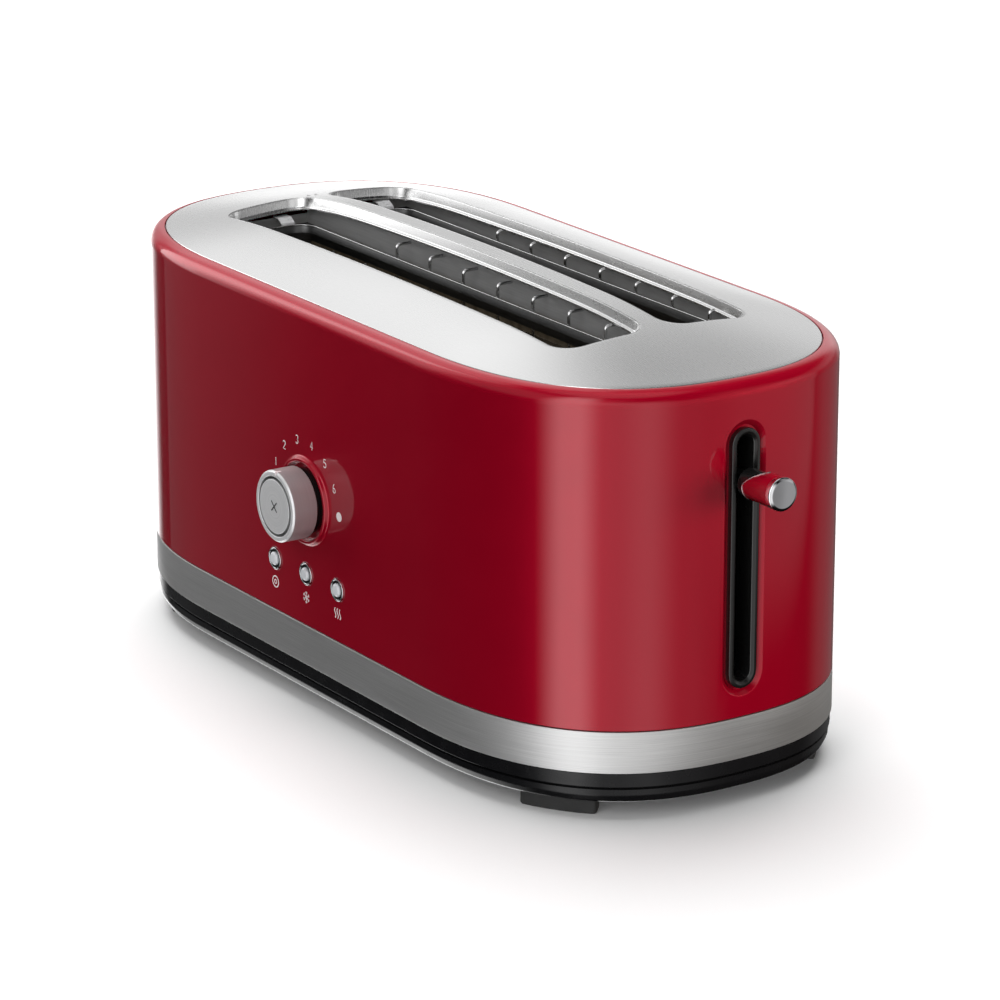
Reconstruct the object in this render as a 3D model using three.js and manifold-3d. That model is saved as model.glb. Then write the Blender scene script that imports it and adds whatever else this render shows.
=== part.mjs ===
// A long-slot pop up toaster, in millimetres, +Z up, standing on its feet at z = 0.
// +X points to the lever end, -Y to the face with the dial. Everything is laid out about the middle of the
// body, and the whole group is then shifted so that its origin is the bottom centre of its bounding box.

import * as THREE from 'three';
import { mergeVertices } from 'three/addons/utils/BufferGeometryUtils.js';
import Module from 'manifold-3d';

const wasm = await Module();
wasm.setup();

// ---- Driving dimensions ----

const HALF_LENGTH = 197;            // body, along X
const HALF_WIDTH = 90.8;            // body, along Y
const STRAIGHT_HALF = 88.3;         // the long sides are straight between x = -88.3 and 88.3
const END_EXPONENT = 2.43;          // superellipse exponent of the rounded ends
const END_STEPS = 7;                // facets in a quarter of the plan outline
const GAP = 0.3;                    // clearance between neighbouring pieces

const FOOT_HEIGHT = 6.2;
const BASE_BOTTOM = 6.5;
const BASE_TOP = 20.3;
const BAND_BOTTOM = 20.5;
const BAND_TOP = 38.7;
const SHELL_BOTTOM = 39;
const ROLL_START = 176;             // where the shell's side starts to roll over
const LID_EDGE_Z = 183.8;
const LID_INSET = 7.1;
const LID_RISE = 13.6;
const LID_END_FALL = 0.45;          // how far the crown drops towards the ends, as a share of its rise
const SHEET = 1.2;                  // lid and band sheet thickness

const SLOT_X = [-141, 136.5];
const SLOT_CENTRE_Y = 26.95;
const SLOT_WIDTH = 45.7;
const SLOT_CORNER = 12;
const COLLAR_DEPTH = 4.9;

const LINER_X = [-129, 121];
const LINER_WIDTH = 29;
const LINER_BOTTOM = 176;
const LINER_FOLD = 183.6;
const LINER_TOP = 187.9;

const WIRE = 1.4;
const WIRE_PITCH = 27.07;
const WIRE_X0 = 3.5;
const GUIDE_OFFSET = 16.45;         // from the middle of a slot to a guide's wires
const GUIDE_BOTTOM = 54;
const INNER_HOOK = { z: 188.5, reach: 7.4 };    // guides beside the centre heater
const OUTER_HOOK = { z: 187, reach: 4.4 };      // guides beside the front and rear heaters

const RACK_Z = 121;
const RACK_WIDTH = 11;
const CARRIAGE_Z = [121, 145];
const CARRIAGE_X = [152, 163.7];
const ROD_X = 158;
const ROD_Y = 12;
const ROD_RADIUS = 2.5;

const CHASSIS_Z = [42, 180];
const CHASSIS_HALF_WIDTH = 61;
const CHASSIS_LEFT = -150;
const CHASSIS_RIGHT = 140;
const PLATE = 1.2;
const HEATER_OFFSET = 54;
const REFLECTOR_OFFSET = 60;
const TOP_TAB_Z = 170;

const BEZEL_Z = [51.5, 164.1];
const BEZEL_WIDTH = 14.1;
const BEZEL_OPENING = 8.2;
const BEZEL_PROUD = 1.2;
const LEVER_Z = 141.6;
const LEVER_RADIUS = 7;
const LEVER_TILT = 1.6;             // degrees, rising outwards
const LEVER_ROOT_X = 200.6;
const LEVER_LENGTH = 22.5;
const LEVER_CHAMFER = 1;

const DIAL_Z = 96.5;
const DIAL_RADIUS = 16;
const DIAL_PROUD = 15.5;
const DIAL_REAR_GAP = 4.4;
const DIAL_RING = [17.3, 20.5];
const CANCEL_RADIUS = 12.6;
const BUTTON_Z = 62.8;
const BUTTON_PITCH = 26;
const BUTTON_RADIUS = 3.3;
const BUTTON_RING_RADIUS = 5.1;
const BOARD_Y = -73.3;

const TRAY_HALF = 120;
const TRAY_PANEL_HALF = 121.4;
const TRAY_Z = 24;
const HANDLE_PROUD = 8;

// ---- Materials ----

function finish(color, roughness, metalness) {
  return () => new THREE.MeshStandardMaterial({ color, roughness, metalness });
}
const redPaint = finish(0x8a0a1e, 0.25, 0.2);
const brushedSteel = finish(0xc4c4c6, 0.35, 1);
const polishedSteel = finish(0xe0e0e4, 0.12, 1);
const springSteel = finish(0x9a9a9e, 0.4, 1);
const sheetSteel = finish(0x8f8f93, 0.5, 0.9);
const blackPlastic = finish(0x16161a, 0.45, 0);
const greyPlastic = finish(0xb9bbc0, 0.35, 0);
const rubber = finish(0x0e0e10, 0.85, 0);
const mica = finish(0xb6a27c, 0.7, 0);
const circuitGreen = finish(0x1c5a36, 0.6, 0);
const copperRed = finish(0x9c4a24, 0.5, 0.6);

// ---- Solids ----

function toSolid(geometry) {
  const bare = geometry.index ? geometry.clone() : geometry;
  bare.deleteAttribute('normal');
  bare.deleteAttribute('uv');
  const merged = mergeVertices(bare, 1e-4);
  const vertProperties = new Float32Array(merged.attributes.position.array);
  const triVerts = new Uint32Array(merged.index.array);
  return new wasm.Manifold(new wasm.Mesh({ numProp: 3, vertProperties, triVerts }));
}

function toGeometry(solid) {
  const mesh = solid.getMesh();
  const indexed = new THREE.BufferGeometry();
  indexed.setAttribute('position', new THREE.BufferAttribute(new Float32Array(mesh.vertProperties), 3));
  indexed.setIndex(new THREE.BufferAttribute(new Uint32Array(mesh.triVerts), 1));
  const flat = indexed.toNonIndexed();
  flat.computeVertexNormals();
  return flat;
}

function box(x, y, z) {
  const geometry = new THREE.BoxGeometry(x[1] - x[0], y[1] - y[0], z[1] - z[0]);
  geometry.translate((x[0] + x[1]) / 2, (y[0] + y[1]) / 2, (z[0] + z[1]) / 2);
  return toSolid(geometry);
}

// A cylinder along X, Y or Z. centre gives its place on the two other axes, in X, Y, Z order.
function cylinder(axis, centre, radius, span, sides = 20) {
  const geometry = new THREE.CylinderGeometry(radius, radius, span[1] - span[0], sides);
  const middle = (span[0] + span[1]) / 2;
  if (axis === 'x') {
    geometry.rotateZ(-Math.PI / 2);
    geometry.translate(middle, centre[0], centre[1]);
  } else if (axis === 'y') {
    geometry.translate(centre[0], middle, centre[1]);
  } else {
    geometry.rotateX(Math.PI / 2);
    geometry.translate(centre[0], centre[1], middle);
  }
  return toSolid(geometry);
}

// A turned piece about an axis along Y. Profile points are [radius, y]; it closes on itself or on the axis.
function turnedAboutY(profile, centreX, centreZ, sides = 32) {
  const points = profile.map(([radius, y]) => new THREE.Vector2(radius, y));
  const geometry = new THREE.LatheGeometry(points, sides);
  geometry.translate(centreX, 0, centreZ);
  const solid = toSolid(geometry);
  return solid.volume() > 0 ? solid : toSolid(flipped(geometry));
}

function turnedAboutZ(profile, centreX, centreY, sides = 16) {
  const points = profile.map(([radius, z]) => new THREE.Vector2(radius, z));
  const geometry = new THREE.LatheGeometry(points, sides);
  geometry.rotateX(Math.PI / 2);
  geometry.translate(centreX, centreY, 0);
  const solid = toSolid(geometry);
  return solid.volume() > 0 ? solid : toSolid(flipped(geometry));
}

function flipped(geometry) {
  const index = Array.from(geometry.index.array);
  for (let i = 0; i < index.length; i += 3) {
    [index[i], index[i + 1]] = [index[i + 1], index[i]];
  }
  const turned = geometry.clone();
  turned.setIndex(index);
  return turned;
}

function meshSolid(points, triangles) {
  const geometry = new THREE.BufferGeometry();
  geometry.setAttribute('position', new THREE.Float32BufferAttribute(points.flat(), 3));
  geometry.setIndex(triangles);
  const solid = toSolid(geometry);
  return solid.volume() > 0 ? solid : toSolid(flipped(geometry));
}

function prism(points, z) {
  const geometry = new THREE.ExtrudeGeometry(new THREE.Shape(points), {
    depth: z[1] - z[0],
    bevelEnabled: false,
  });
  geometry.translate(0, 0, z[0]);
  return toSolid(geometry);
}

// ---- Outlines ----

// The body's plan outline, moved inwards by inset, anticlockwise from +X.
function planOutline(inset, scale = 1) {
  const reach = (HALF_LENGTH - inset - STRAIGHT_HALF) * scale;
  const halfWidth = (HALF_WIDTH - inset) * scale;
  const quarter = [];
  for (let i = 0; i <= END_STEPS; i++) {
    const t = (i / END_STEPS) * Math.PI / 2;
    const x = STRAIGHT_HALF + reach * Math.max(Math.cos(t), 0) ** (2 / END_EXPONENT);
    quarter.push([i === END_STEPS ? STRAIGHT_HALF : x, halfWidth * Math.sin(t) ** (2 / END_EXPONENT)]);
  }
  const half = [...quarter];
  for (const share of [0.5, 0, -0.5]) {
    half.push([STRAIGHT_HALF * share, halfWidth]);
  }
  for (let i = END_STEPS; i >= 0; i--) {
    half.push([-quarter[i][0], quarter[i][1]]);
  }
  const lower = half.slice(1, -1).reverse().map(([x, y]) => [x, -y]);
  return [...half, ...lower].map(([x, y]) => new THREE.Vector2(x, y));
}

function roundedRectangle(x, y, radius, steps = 4) {
  const corners = [
    [x[1] - radius, y[0] + radius, -90],
    [x[1] - radius, y[1] - radius, 0],
    [x[0] + radius, y[1] - radius, 90],
    [x[0] + radius, y[0] + radius, 180],
  ];
  const points = [];
  for (const [cx, cy, start] of corners) {
    for (let i = 0; i <= steps; i++) {
      const angle = THREE.MathUtils.degToRad(start + (90 * i) / steps);
      points.push(new THREE.Vector2(cx + radius * Math.cos(angle), cy + radius * Math.sin(angle)));
    }
  }
  return points;
}

function slotOutline(side, inset) {
  const middle = side * SLOT_CENTRE_Y;
  const half = SLOT_WIDTH / 2 - inset;
  return roundedRectangle([SLOT_X[0] + inset, SLOT_X[1] - inset], [middle - half, middle + half],
    SLOT_CORNER - inset);
}

// A closed ring whose section is the closed profile of [inset, z] points, carried round an outline.
function ring(outline, profile) {
  const count = outline(profile[0][0]).length;
  const points = [];
  for (const [inset, z] of profile) {
    for (const point of outline(inset)) {
      points.push([point.x, point.y, z]);
    }
  }
  const triangles = [];
  for (let k = 0; k < profile.length; k++) {
    const next = (k + 1) % profile.length;
    for (let i = 0; i < count; i++) {
      const j = (i + 1) % count;
      const [a, b, c, d] = [k * count + i, k * count + j, next * count + j, next * count + i];
      triangles.push(a, b, c, a, c, d);
    }
  }
  return meshSolid(points, triangles);
}

// A solid stack of plan outlines, one at each [inset, z], capped at its first and last levels.
function stack(profile) {
  const count = planOutline(0).length;
  const points = [];
  for (const [inset, z] of profile) {
    for (const point of planOutline(inset)) {
      points.push([point.x, point.y, z]);
    }
  }
  const triangles = [];
  for (let k = 0; k < profile.length - 1; k++) {
    for (let i = 0; i < count; i++) {
      const j = (i + 1) % count;
      const [a, b, c, d] = [k * count + i, k * count + j, (k + 1) * count + j, (k + 1) * count + i];
      triangles.push(a, b, c, a, c, d);
    }
  }
  const top = (profile.length - 1) * count;
  for (const [a, b, c] of THREE.ShapeUtils.triangulateShape(planOutline(profile[0][0]), [])) {
    triangles.push(a, c, b);
    triangles.push(top + a, top + b, top + c);
  }
  return meshSolid(points, triangles);
}

// ---- Lid ----

function lidHeight(x, share) {
  const fall = 1 - LID_END_FALL * (x / (HALF_LENGTH - LID_INSET)) ** 2;
  return LID_EDGE_Z + LID_RISE * (1 - share ** 2) * fall;
}

// A slab under the crowned lid surface, depth thick, trimmed to the lid's edge.
function lidSlab(depth) {
  const shares = [1, 0.86, 0.68, 0.46, 0.22, 0.03];
  const outline = shares.map((share) => planOutline(LID_INSET, share));
  const count = outline[0].length;
  const points = [];
  for (const drop of [0, depth]) {
    shares.forEach((share, k) => {
      for (const point of outline[k]) {
        points.push([point.x, point.y, lidHeight(point.x, share) - drop]);
      }
    });
  }
  const layer = shares.length * count;
  const triangles = [];
  for (let k = 0; k < shares.length - 1; k++) {
    for (let i = 0; i < count; i++) {
      const j = (i + 1) % count;
      const [a, b, c, d] = [k * count + i, k * count + j, (k + 1) * count + j, (k + 1) * count + i];
      triangles.push(a, b, c, a, c, d);
      triangles.push(layer + a, layer + c, layer + b, layer + a, layer + d, layer + c);
    }
  }
  for (let i = 0; i < count; i++) {
    const j = (i + 1) % count;
    triangles.push(i, layer + j, j, i, layer + i, layer + j);
  }
  const inner = (shares.length - 1) * count;
  for (const [a, b, c] of THREE.ShapeUtils.triangulateShape(outline.at(-1), [])) {
    triangles.push(inner + a, inner + b, inner + c);
    triangles.push(layer + inner + a, layer + inner + c, layer + inner + b);
  }
  return meshSolid(points, triangles);
}

function topPlate() {
  let plate = lidSlab(SHEET);
  for (const side of [-1, 1]) {
    plate = plate.subtract(prism(slotOutline(side, 0), [170, 220]));
  }
  const collarStock = lidSlab(COLLAR_DEPTH);
  for (const side of [-1, 1]) {
    const outer = prism(slotOutline(side, -0.2), [170, 220]);
    const inner = prism(slotOutline(side, SHEET), [170, 220]);
    plate = plate.add(collarStock.intersect(outer).subtract(inner));
  }
  return plate;
}

// ---- Shell, band and base ----

const frontY = -HALF_WIDTH;
const rearY = HALF_WIDTH;

function bezelOutline(width, z, x) {
  const outline = roundedRectangle(z, [-width / 2, width / 2], width / 2 - 0.01, 6);
  const geometry = new THREE.ExtrudeGeometry(new THREE.Shape(outline), {
    depth: x[1] - x[0],
    bevelEnabled: false,
  });
  geometry.rotateY(Math.PI / 2);
  geometry.translate(x[0], 0, z[0] + z[1]);
  return toSolid(geometry);
}

function outerShell() {
  let shell = ring(planOutline, [
    [0, SHELL_BOTTOM], [0, ROLL_START], [0.9, 179.4], [3, 182.3], [6.4, 183.8], [6.4, 181.9], [10, 181.9],
    [10, 180.9], [4.6, 180.9], [2.4, 178.7], [1.4, ROLL_START], [1.4, SHELL_BOTTOM],
  ]);
  const raisedRing = turnedAboutY([
    [DIAL_RING[0], frontY + 0.8], [DIAL_RING[0], frontY - 1.2], [DIAL_RING[0] + 0.8, frontY - 2],
    [DIAL_RING[1] - 0.8, frontY - 2], [DIAL_RING[1], frontY - 1.2], [DIAL_RING[1], frontY + 0.8],
    [DIAL_RING[0], frontY + 0.8],
  ], 0, DIAL_Z);
  shell = shell.add(raisedRing);
  shell = shell.subtract(cylinder('y', [0, DIAL_Z], DIAL_RING[0], [frontY - 5, frontY + 5], 32));
  for (const place of [-1, 0, 1]) {
    const hole = cylinder('y', [place * BUTTON_PITCH, BUTTON_Z], BUTTON_RING_RADIUS + GAP,
      [frontY - 5, frontY + 5]);
    shell = shell.subtract(hole);
  }
  const leverHole = bezelOutline(BEZEL_WIDTH + 2 * GAP, [BEZEL_Z[0] - GAP, BEZEL_Z[1] + GAP], [185, 205]);
  return shell.subtract(leverHole);
}

function bandStock(inset) {
  return ring(planOutline, [
    [inset, BAND_BOTTOM], [inset, BAND_TOP], [inset + SHEET, BAND_TOP], [inset + SHEET, BAND_BOTTOM],
  ]);
}

function steelBand() {
  const gate = TRAY_PANEL_HALF + GAP;
  return bandStock(0).subtract(box([-gate, gate], [60, 110], [BAND_BOTTOM - 5, BAND_TOP + 5]));
}

const bossPlaces = [[151, -48], [151, 48], [-160, -48], [-160, 48]];
const SCREW_HOLE = 2.3;
const GLAND_PLACE = [-128, 52];

function base() {
  let tub = stack([
    [5.2, BASE_BOTTOM], [3.2, 7.4], [1.8, 9.5], [1.2, 13], [1.9, 13], [1.9, 13.6], [0.6, 13.6],
    [0.6, BASE_TOP], [1.7, BASE_TOP], [1.7, 44],
  ]);
  tub = tub.subtract(prism(planOutline(3.6), [9, 50]));
  for (const x of [-104, 104]) {
    tub = tub.add(box([x - 2, x + 2], [-76, 76], [8.5, TRAY_Z - GAP]));
  }
  for (const [x, y] of bossPlaces) {
    tub = tub.add(box([x - 7, x + 7], [y - 8, y + 8], [8.5, CHASSIS_Z[0] - GAP]));
    tub = tub.subtract(cylinder('z', [x, y], SCREW_HOLE, [0, 36], 12));
  }
  const gate = TRAY_PANEL_HALF + 0.5;
  tub = tub.subtract(box([-gate, gate], [65, 110], [BASE_TOP + 1, BAND_TOP - 1]));
  tub = tub.subtract(cylinder('z', GLAND_PLACE, 5.4, [0, 12], 16));
  for (let k = -3; k <= 3; k++) {
    tub = tub.subtract(box([k * 26 - 9, k * 26 + 9], [-30, -26], [0, 12]));
    tub = tub.subtract(box([k * 26 - 9, k * 26 + 9], [26, 30], [0, 12]));
  }
  return tub;
}

function foot(signX, signY) {
  const strip = prism(planOutline(5.2), [0, FOOT_HEIGHT]).subtract(prism(planOutline(16), [-1, 10]));
  const x = signX > 0 ? [149, 174] : [-174, -149];
  const y = signY > 0 ? [40, 95] : [-95, -40];
  return strip.intersect(box(x, y, [0, 10]));
}

function cordGland() {
  return turnedAboutZ([
    [3.6, 5], [7.4, 5], [7.4, 6.2], [5.1, 6.2], [5.1, 9.3], [7.2, 9.3], [7.2, 10.6], [3.6, 10.6], [3.6, 5],
  ], ...GLAND_PLACE);
}

function baseScrew([x, y]) {
  return turnedAboutZ([[0, 4.3], [3.4, 4.3], [3.8, 5.1], [3.8, 6.2], [1.9, 6.2], [1.9, 30], [0, 30.6]], x, y, 12);
}

// ---- Crumb tray ----

function crumbTray() {
  const outer = box([-TRAY_HALF, TRAY_HALF], [-76, 83.5], [TRAY_Z, TRAY_Z + 7]);
  const inner = box([1.2 - TRAY_HALF, TRAY_HALF - 1.2], [-74.8, 82.3], [TRAY_Z + 1, TRAY_Z + 20]);
  return outer.subtract(inner);
}

function trayPanel() {
  const window = box([-TRAY_PANEL_HALF, TRAY_PANEL_HALF], [60, 110], [BAND_BOTTOM + 0.2, BAND_TOP - 0.2]);
  let panel = bandStock(0).intersect(window);
  const stem = box([-28, 28], [rearY - 7, rearY - 0.6], [TRAY_Z + 1.5, TRAY_Z + 5.5]);
  const lip = box([-32, 32], [rearY - 0.6, rearY + HANDLE_PROUD], [TRAY_Z + 2, TRAY_Z + 5]);
  panel = panel.add(stem).add(lip);
  return panel;
}

// ---- Chassis ----

function rackSlit(x, side) {
  const middle = side * SLOT_CENTRE_Y;
  return box([x - 5, x + 5], [middle - 2.4, middle + 2.4], [45, 141]);
}

function chassisEndLeft() {
  const half = CHASSIS_HALF_WIDTH;
  let plate = box([CHASSIS_LEFT - PLATE, CHASSIS_LEFT], [-half, half], CHASSIS_Z);
  plate = plate.add(box([-167, CHASSIS_LEFT - 0.5], [-half, half], [CHASSIS_Z[0], CHASSIS_Z[0] + PLATE]));
  return plate.subtract(rackSlit(CHASSIS_LEFT, -1)).subtract(rackSlit(CHASSIS_LEFT, 1));
}

function chassisEndRight() {
  const half = CHASSIS_HALF_WIDTH;
  const floorZ = [CHASSIS_Z[0], CHASSIS_Z[0] + PLATE];
  let plate = box([CHASSIS_RIGHT, CHASSIS_RIGHT + PLATE], [-half, half], CHASSIS_Z);
  plate = plate.add(box([CHASSIS_RIGHT + 0.5, 160], [-half, half], floorZ));
  plate = plate.add(box([159, 184], [-30, 30], floorZ));
  plate = plate.add(box([CHASSIS_RIGHT + 0.5, 178], [-30, 30], [TOP_TAB_Z, TOP_TAB_Z + PLATE]));
  for (const side of [-1, 1]) {
    plate = plate.subtract(rackSlit(CHASSIS_RIGHT, side));
    plate = plate.subtract(cylinder('z', [ROD_X, side * ROD_Y], ROD_RADIUS + GAP, [160, 190], 12));
  }
  return plate;
}

function guideRod(side) {
  return cylinder('z', [ROD_X, side * ROD_Y], ROD_RADIUS, [CHASSIS_Z[0] + PLATE + GAP, TOP_TAB_Z + 3], 12);
}

function reflector(side) {
  const y = side * REFLECTOR_OFFSET;
  const x = [CHASSIS_LEFT + GAP, CHASSIS_RIGHT - GAP];
  return box(x, [y - 0.5, y + 0.5], [CHASSIS_Z[0], CHASSIS_Z[1]]);
}

function heaterBoard(y) {
  let board = box([-141, 131], [y - 0.6, y + 0.6], [58, 176]);
  for (const x of [-141, 131]) {
    board = board.subtract(box([x - 3, x + 3], [y - 2, y + 2], [90, 144]));
  }
  return board;
}

// A rounded funnel ring that leads the bread in, with a tab at each end to the chassis.
function slotLiner(side) {
  const middle = side * SLOT_CENTRE_Y;
  const outline = (inset) => roundedRectangle(
    [LINER_X[0] + inset, LINER_X[1] - inset],
    [middle - LINER_WIDTH / 2 + inset, middle + LINER_WIDTH / 2 - inset], 9 - inset, 3);
  let liner = ring(outline, [
    [0, LINER_BOTTOM], [0, LINER_FOLD], [-0.8, LINER_TOP], [0, LINER_TOP], [0.8, LINER_FOLD], [0.8, LINER_BOTTOM],
  ]);
  const tabY = [middle - 4, middle + 4];
  const tabZ = [LINER_BOTTOM, LINER_BOTTOM + 1.2];
  liner = liner.add(box([CHASSIS_LEFT + GAP, LINER_X[0] + 0.4], tabY, tabZ));
  return liner.add(box([LINER_X[1] - 0.4, CHASSIS_RIGHT - GAP], tabY, tabZ));
}

// ---- Bread guides ----

const hookedWires = [-2, -1, 0, 1, 2, 3, 4];
const shortWires = [-4, -3];

// A cage of upright wires. away is +1 or -1: the side, in Y, that its hooks turn to, away from the bread.
function breadGuide(slotSide, away) {
  const y = slotSide * SLOT_CENTRE_Y + away * GUIDE_OFFSET;
  const half = WIRE / 2;
  const hook = slotSide === away ? OUTER_HOOK : INNER_HOOK;
  const tip = y + away * hook.reach;
  const ends = [WIRE_X0 - 4 * WIRE_PITCH - 6, WIRE_X0 + 4 * WIRE_PITCH + 6];
  let cage = box(ends, [y - half, y + half], [GUIDE_BOTTOM, GUIDE_BOTTOM + WIRE]);
  cage = cage.add(box(ends, [y - half, y + half], [150, 150 + WIRE]));
  for (const k of [...shortWires, ...hookedWires]) {
    const x = WIRE_X0 + k * WIRE_PITCH;
    const top = hookedWires.includes(k) ? hook.z + half : 174;
    cage = cage.add(box([x - half, x + half], [y - half, y + half], [GUIDE_BOTTOM, top]));
  }
  for (const k of hookedWires) {
    const x = WIRE_X0 + k * WIRE_PITCH;
    const span = [Math.min(y - half, tip), Math.max(y + half, tip)];
    cage = cage.add(box([x - half, x + half], span, [hook.z - half, hook.z + half]));
  }
  return cage;
}

// ---- Lever, carriage and bread racks ----

function breadRack(side) {
  const y = side * SLOT_CENTRE_Y;
  const half = RACK_WIDTH / 2;
  let rack = box([-138, 130], [y - half, y + half], [RACK_Z, RACK_Z + 1.6]);
  for (let x = -130; x <= 122; x += 28) {
    rack = rack.add(box([x, x + 1.6], [y - half, y + half], [RACK_Z + 1, RACK_Z + 4]));
  }
  rack = rack.add(box([-157, -137], [y - 1.5, y + 1.5], [RACK_Z, RACK_Z + 4]));
  return rack.add(box([129, CARRIAGE_X[0] - GAP], [y - 1.5, y + 1.5], [RACK_Z, RACK_Z + 4]));
}

function carriage() {
  let block = box(CARRIAGE_X, [-33, 33], CARRIAGE_Z);
  block = block.subtract(box([156, 170], [-31, -17], [124, 150]));
  block = block.subtract(box([156, 170], [17, 31], [124, 150]));
  block = block.add(box([CARRIAGE_X[1] - 1, 177], [9, 19], [CARRIAGE_Z[0], CARRIAGE_Z[0] + 2.2]));
  for (const side of [-1, 1]) {
    block = block.subtract(cylinder('z', [ROD_X, side * ROD_Y], ROD_RADIUS + GAP, [100, 170], 12));
  }
  return block;
}

function armature() {
  return box([CARRIAGE_X[1] + GAP, 182], [-16, -5], [138, 140.4]);
}

function latchMagnet() {
  const z0 = CHASSIS_Z[0] + PLATE + GAP;
  const core = box([169, 181], [-15, -6], [z0, 62.2]);
  const winding = box([166.5, 183.5], [-17.5, -3.5], [z0 + 2, 58]);
  return core.add(winding);
}

function liftSpring() {
  const turns = 9;
  const z0 = CARRIAGE_Z[0] + 2.2 + GAP + 0.6;
  const height = TOP_TAB_Z - GAP - 0.6 - z0;
  const helix = new THREE.Curve();
  helix.getPoint = (t) => {
    const angle = t * turns * 2 * Math.PI;
    return new THREE.Vector3(171 + 3.6 * Math.cos(angle), 14 + 3.6 * Math.sin(angle), z0 + t * height);
  };
  const section = new THREE.Shape();
  section.absarc(0, 0, 0.5, 0, 2 * Math.PI);
  const options = { steps: turns * 8, extrudePath: helix, curveSegments: 2, bevelEnabled: false };
  return toSolid(new THREE.ExtrudeGeometry(section, options));
}

function leverArm() {
  return box([CARRIAGE_X[1] + GAP, LEVER_ROOT_X - 2.6], [-2.2, 2.2], [LEVER_Z - 3, LEVER_Z + 3]);
}

// A turned piece about the lever's own axis. Profile points are [radius, distance from the root].
function onLeverAxis(profile) {
  const points = profile.map(([radius, along]) => new THREE.Vector2(radius, along));
  const geometry = new THREE.LatheGeometry(points, 20);
  geometry.rotateZ(-Math.PI / 2);
  geometry.rotateY(-THREE.MathUtils.degToRad(LEVER_TILT));
  geometry.translate(LEVER_ROOT_X, 0, LEVER_Z);
  const solid = toSolid(geometry);
  return solid.volume() > 0 ? solid : toSolid(flipped(geometry));
}

function leverKnob() {
  const end = LEVER_LENGTH - 4;
  return onLeverAxis([[0, 0.4], [LEVER_RADIUS, 0.4], [LEVER_RADIUS, end], [0, end]]);
}

function leverCap() {
  const start = LEVER_LENGTH - 4 + GAP;
  return onLeverAxis([
    [0, start], [LEVER_RADIUS + 0.2, start], [LEVER_RADIUS + 0.2, LEVER_LENGTH - LEVER_CHAMFER],
    [LEVER_RADIUS - LEVER_CHAMFER, LEVER_LENGTH], [0, LEVER_LENGTH],
  ]);
}

function leverCollar() {
  return onLeverAxis([[0, -1.3], [LEVER_RADIUS - 1, -1.3], [LEVER_RADIUS - 0.4, 0.1], [0, 0.1]]);
}

function leverBezel() {
  const rim = (BEZEL_WIDTH - BEZEL_OPENING) / 2;
  const x = [191.5, HALF_LENGTH + BEZEL_PROUD];
  const outer = bezelOutline(BEZEL_WIDTH, BEZEL_Z, x);
  return outer.subtract(bezelOutline(BEZEL_OPENING, [BEZEL_Z[0] + rim, BEZEL_Z[1] - rim], [180, 210]));
}

// ---- Dial and buttons ----

function browningDial() {
  const front = frontY - DIAL_PROUD;
  const rear = frontY - DIAL_REAR_GAP;
  return turnedAboutY([
    [4.2, front + 5.4], [13.4, front + 5.4], [13.4, front + 0.5], [DIAL_RADIUS - 1.2, front],
    [DIAL_RADIUS, front + 1.2], [DIAL_RADIUS, rear], [9, rear], [9, frontY + 9.4], [4.2, frontY + 9.4],
    [4.2, front + 5.4],
  ], 0, DIAL_Z);
}

function cancelButton() {
  const front = frontY - DIAL_PROUD - 0.3;
  return turnedAboutY([
    [0, front], [CANCEL_RADIUS - 0.5, front], [CANCEL_RADIUS, front + 0.5], [CANCEL_RADIUS, front + 2.8],
    [3.4, front + 2.8], [3.4, frontY + 12], [0, frontY + 12],
  ], 0, DIAL_Z);
}

function dialBushing() {
  return turnedAboutY([
    [9.4, frontY + 2], [19.6, frontY + 2], [19.6, frontY + 4], [9.4, frontY + 4], [9.4, frontY + 2],
  ], 0, DIAL_Z);
}

function potentiometer() {
  return turnedAboutY([
    [4.4, frontY + 9.8], [11, frontY + 9.8], [11, BOARD_Y - GAP], [4.4, BOARD_Y - GAP], [4.4, frontY + 9.8],
  ], 0, DIAL_Z, 20);
}

function cancelSwitch() {
  return cylinder('y', [0, DIAL_Z], 3.6, [frontY + 14.4, BOARD_Y - GAP], 12);
}

function buttonRing(place) {
  return turnedAboutY([
    [3.8, frontY - 1], [4.8, frontY - 1], [BUTTON_RING_RADIUS, frontY - 0.5], [BUTTON_RING_RADIUS, frontY + 3],
    [3.8, frontY + 3], [3.8, frontY - 1],
  ], place * BUTTON_PITCH, BUTTON_Z, 20);
}

function buttonCap(place) {
  return turnedAboutY([
    [0, frontY - 1.9], [BUTTON_RADIUS - 0.6, frontY - 1.9], [BUTTON_RADIUS, frontY - 1.4],
    [BUTTON_RADIUS, frontY + 12], [0, frontY + 12],
  ], place * BUTTON_PITCH, BUTTON_Z, 20);
}

function buttonSwitch(place) {
  const x = place * BUTTON_PITCH;
  return box([x - 3, x + 3], [frontY + 13.8, BOARD_Y - GAP], [BUTTON_Z - 3, BUTTON_Z + 3]);
}

function controlBoard() {
  return box([-46, 46], [BOARD_Y, BOARD_Y + 1.6], [52, 126]);
}

function boardBracket() {
  const y = BOARD_Y + 1.6 + GAP;
  const plate = box([-50, 50], [y, y + 1.2], [46, 130]);
  return plate.add(box([-50, 50], [y, -REFLECTOR_OFFSET - 0.8], [128.8, 130]));
}

function terminalBlock() {
  return box([-178, -168.5], [-14, 14], [9.3, 26]);
}

// ---- Assembly ----

const toaster = new THREE.Group();

function add(name, solid, material) {
  const mesh = new THREE.Mesh(toGeometry(solid), material());
  mesh.name = name;
  toaster.add(mesh);
}

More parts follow.
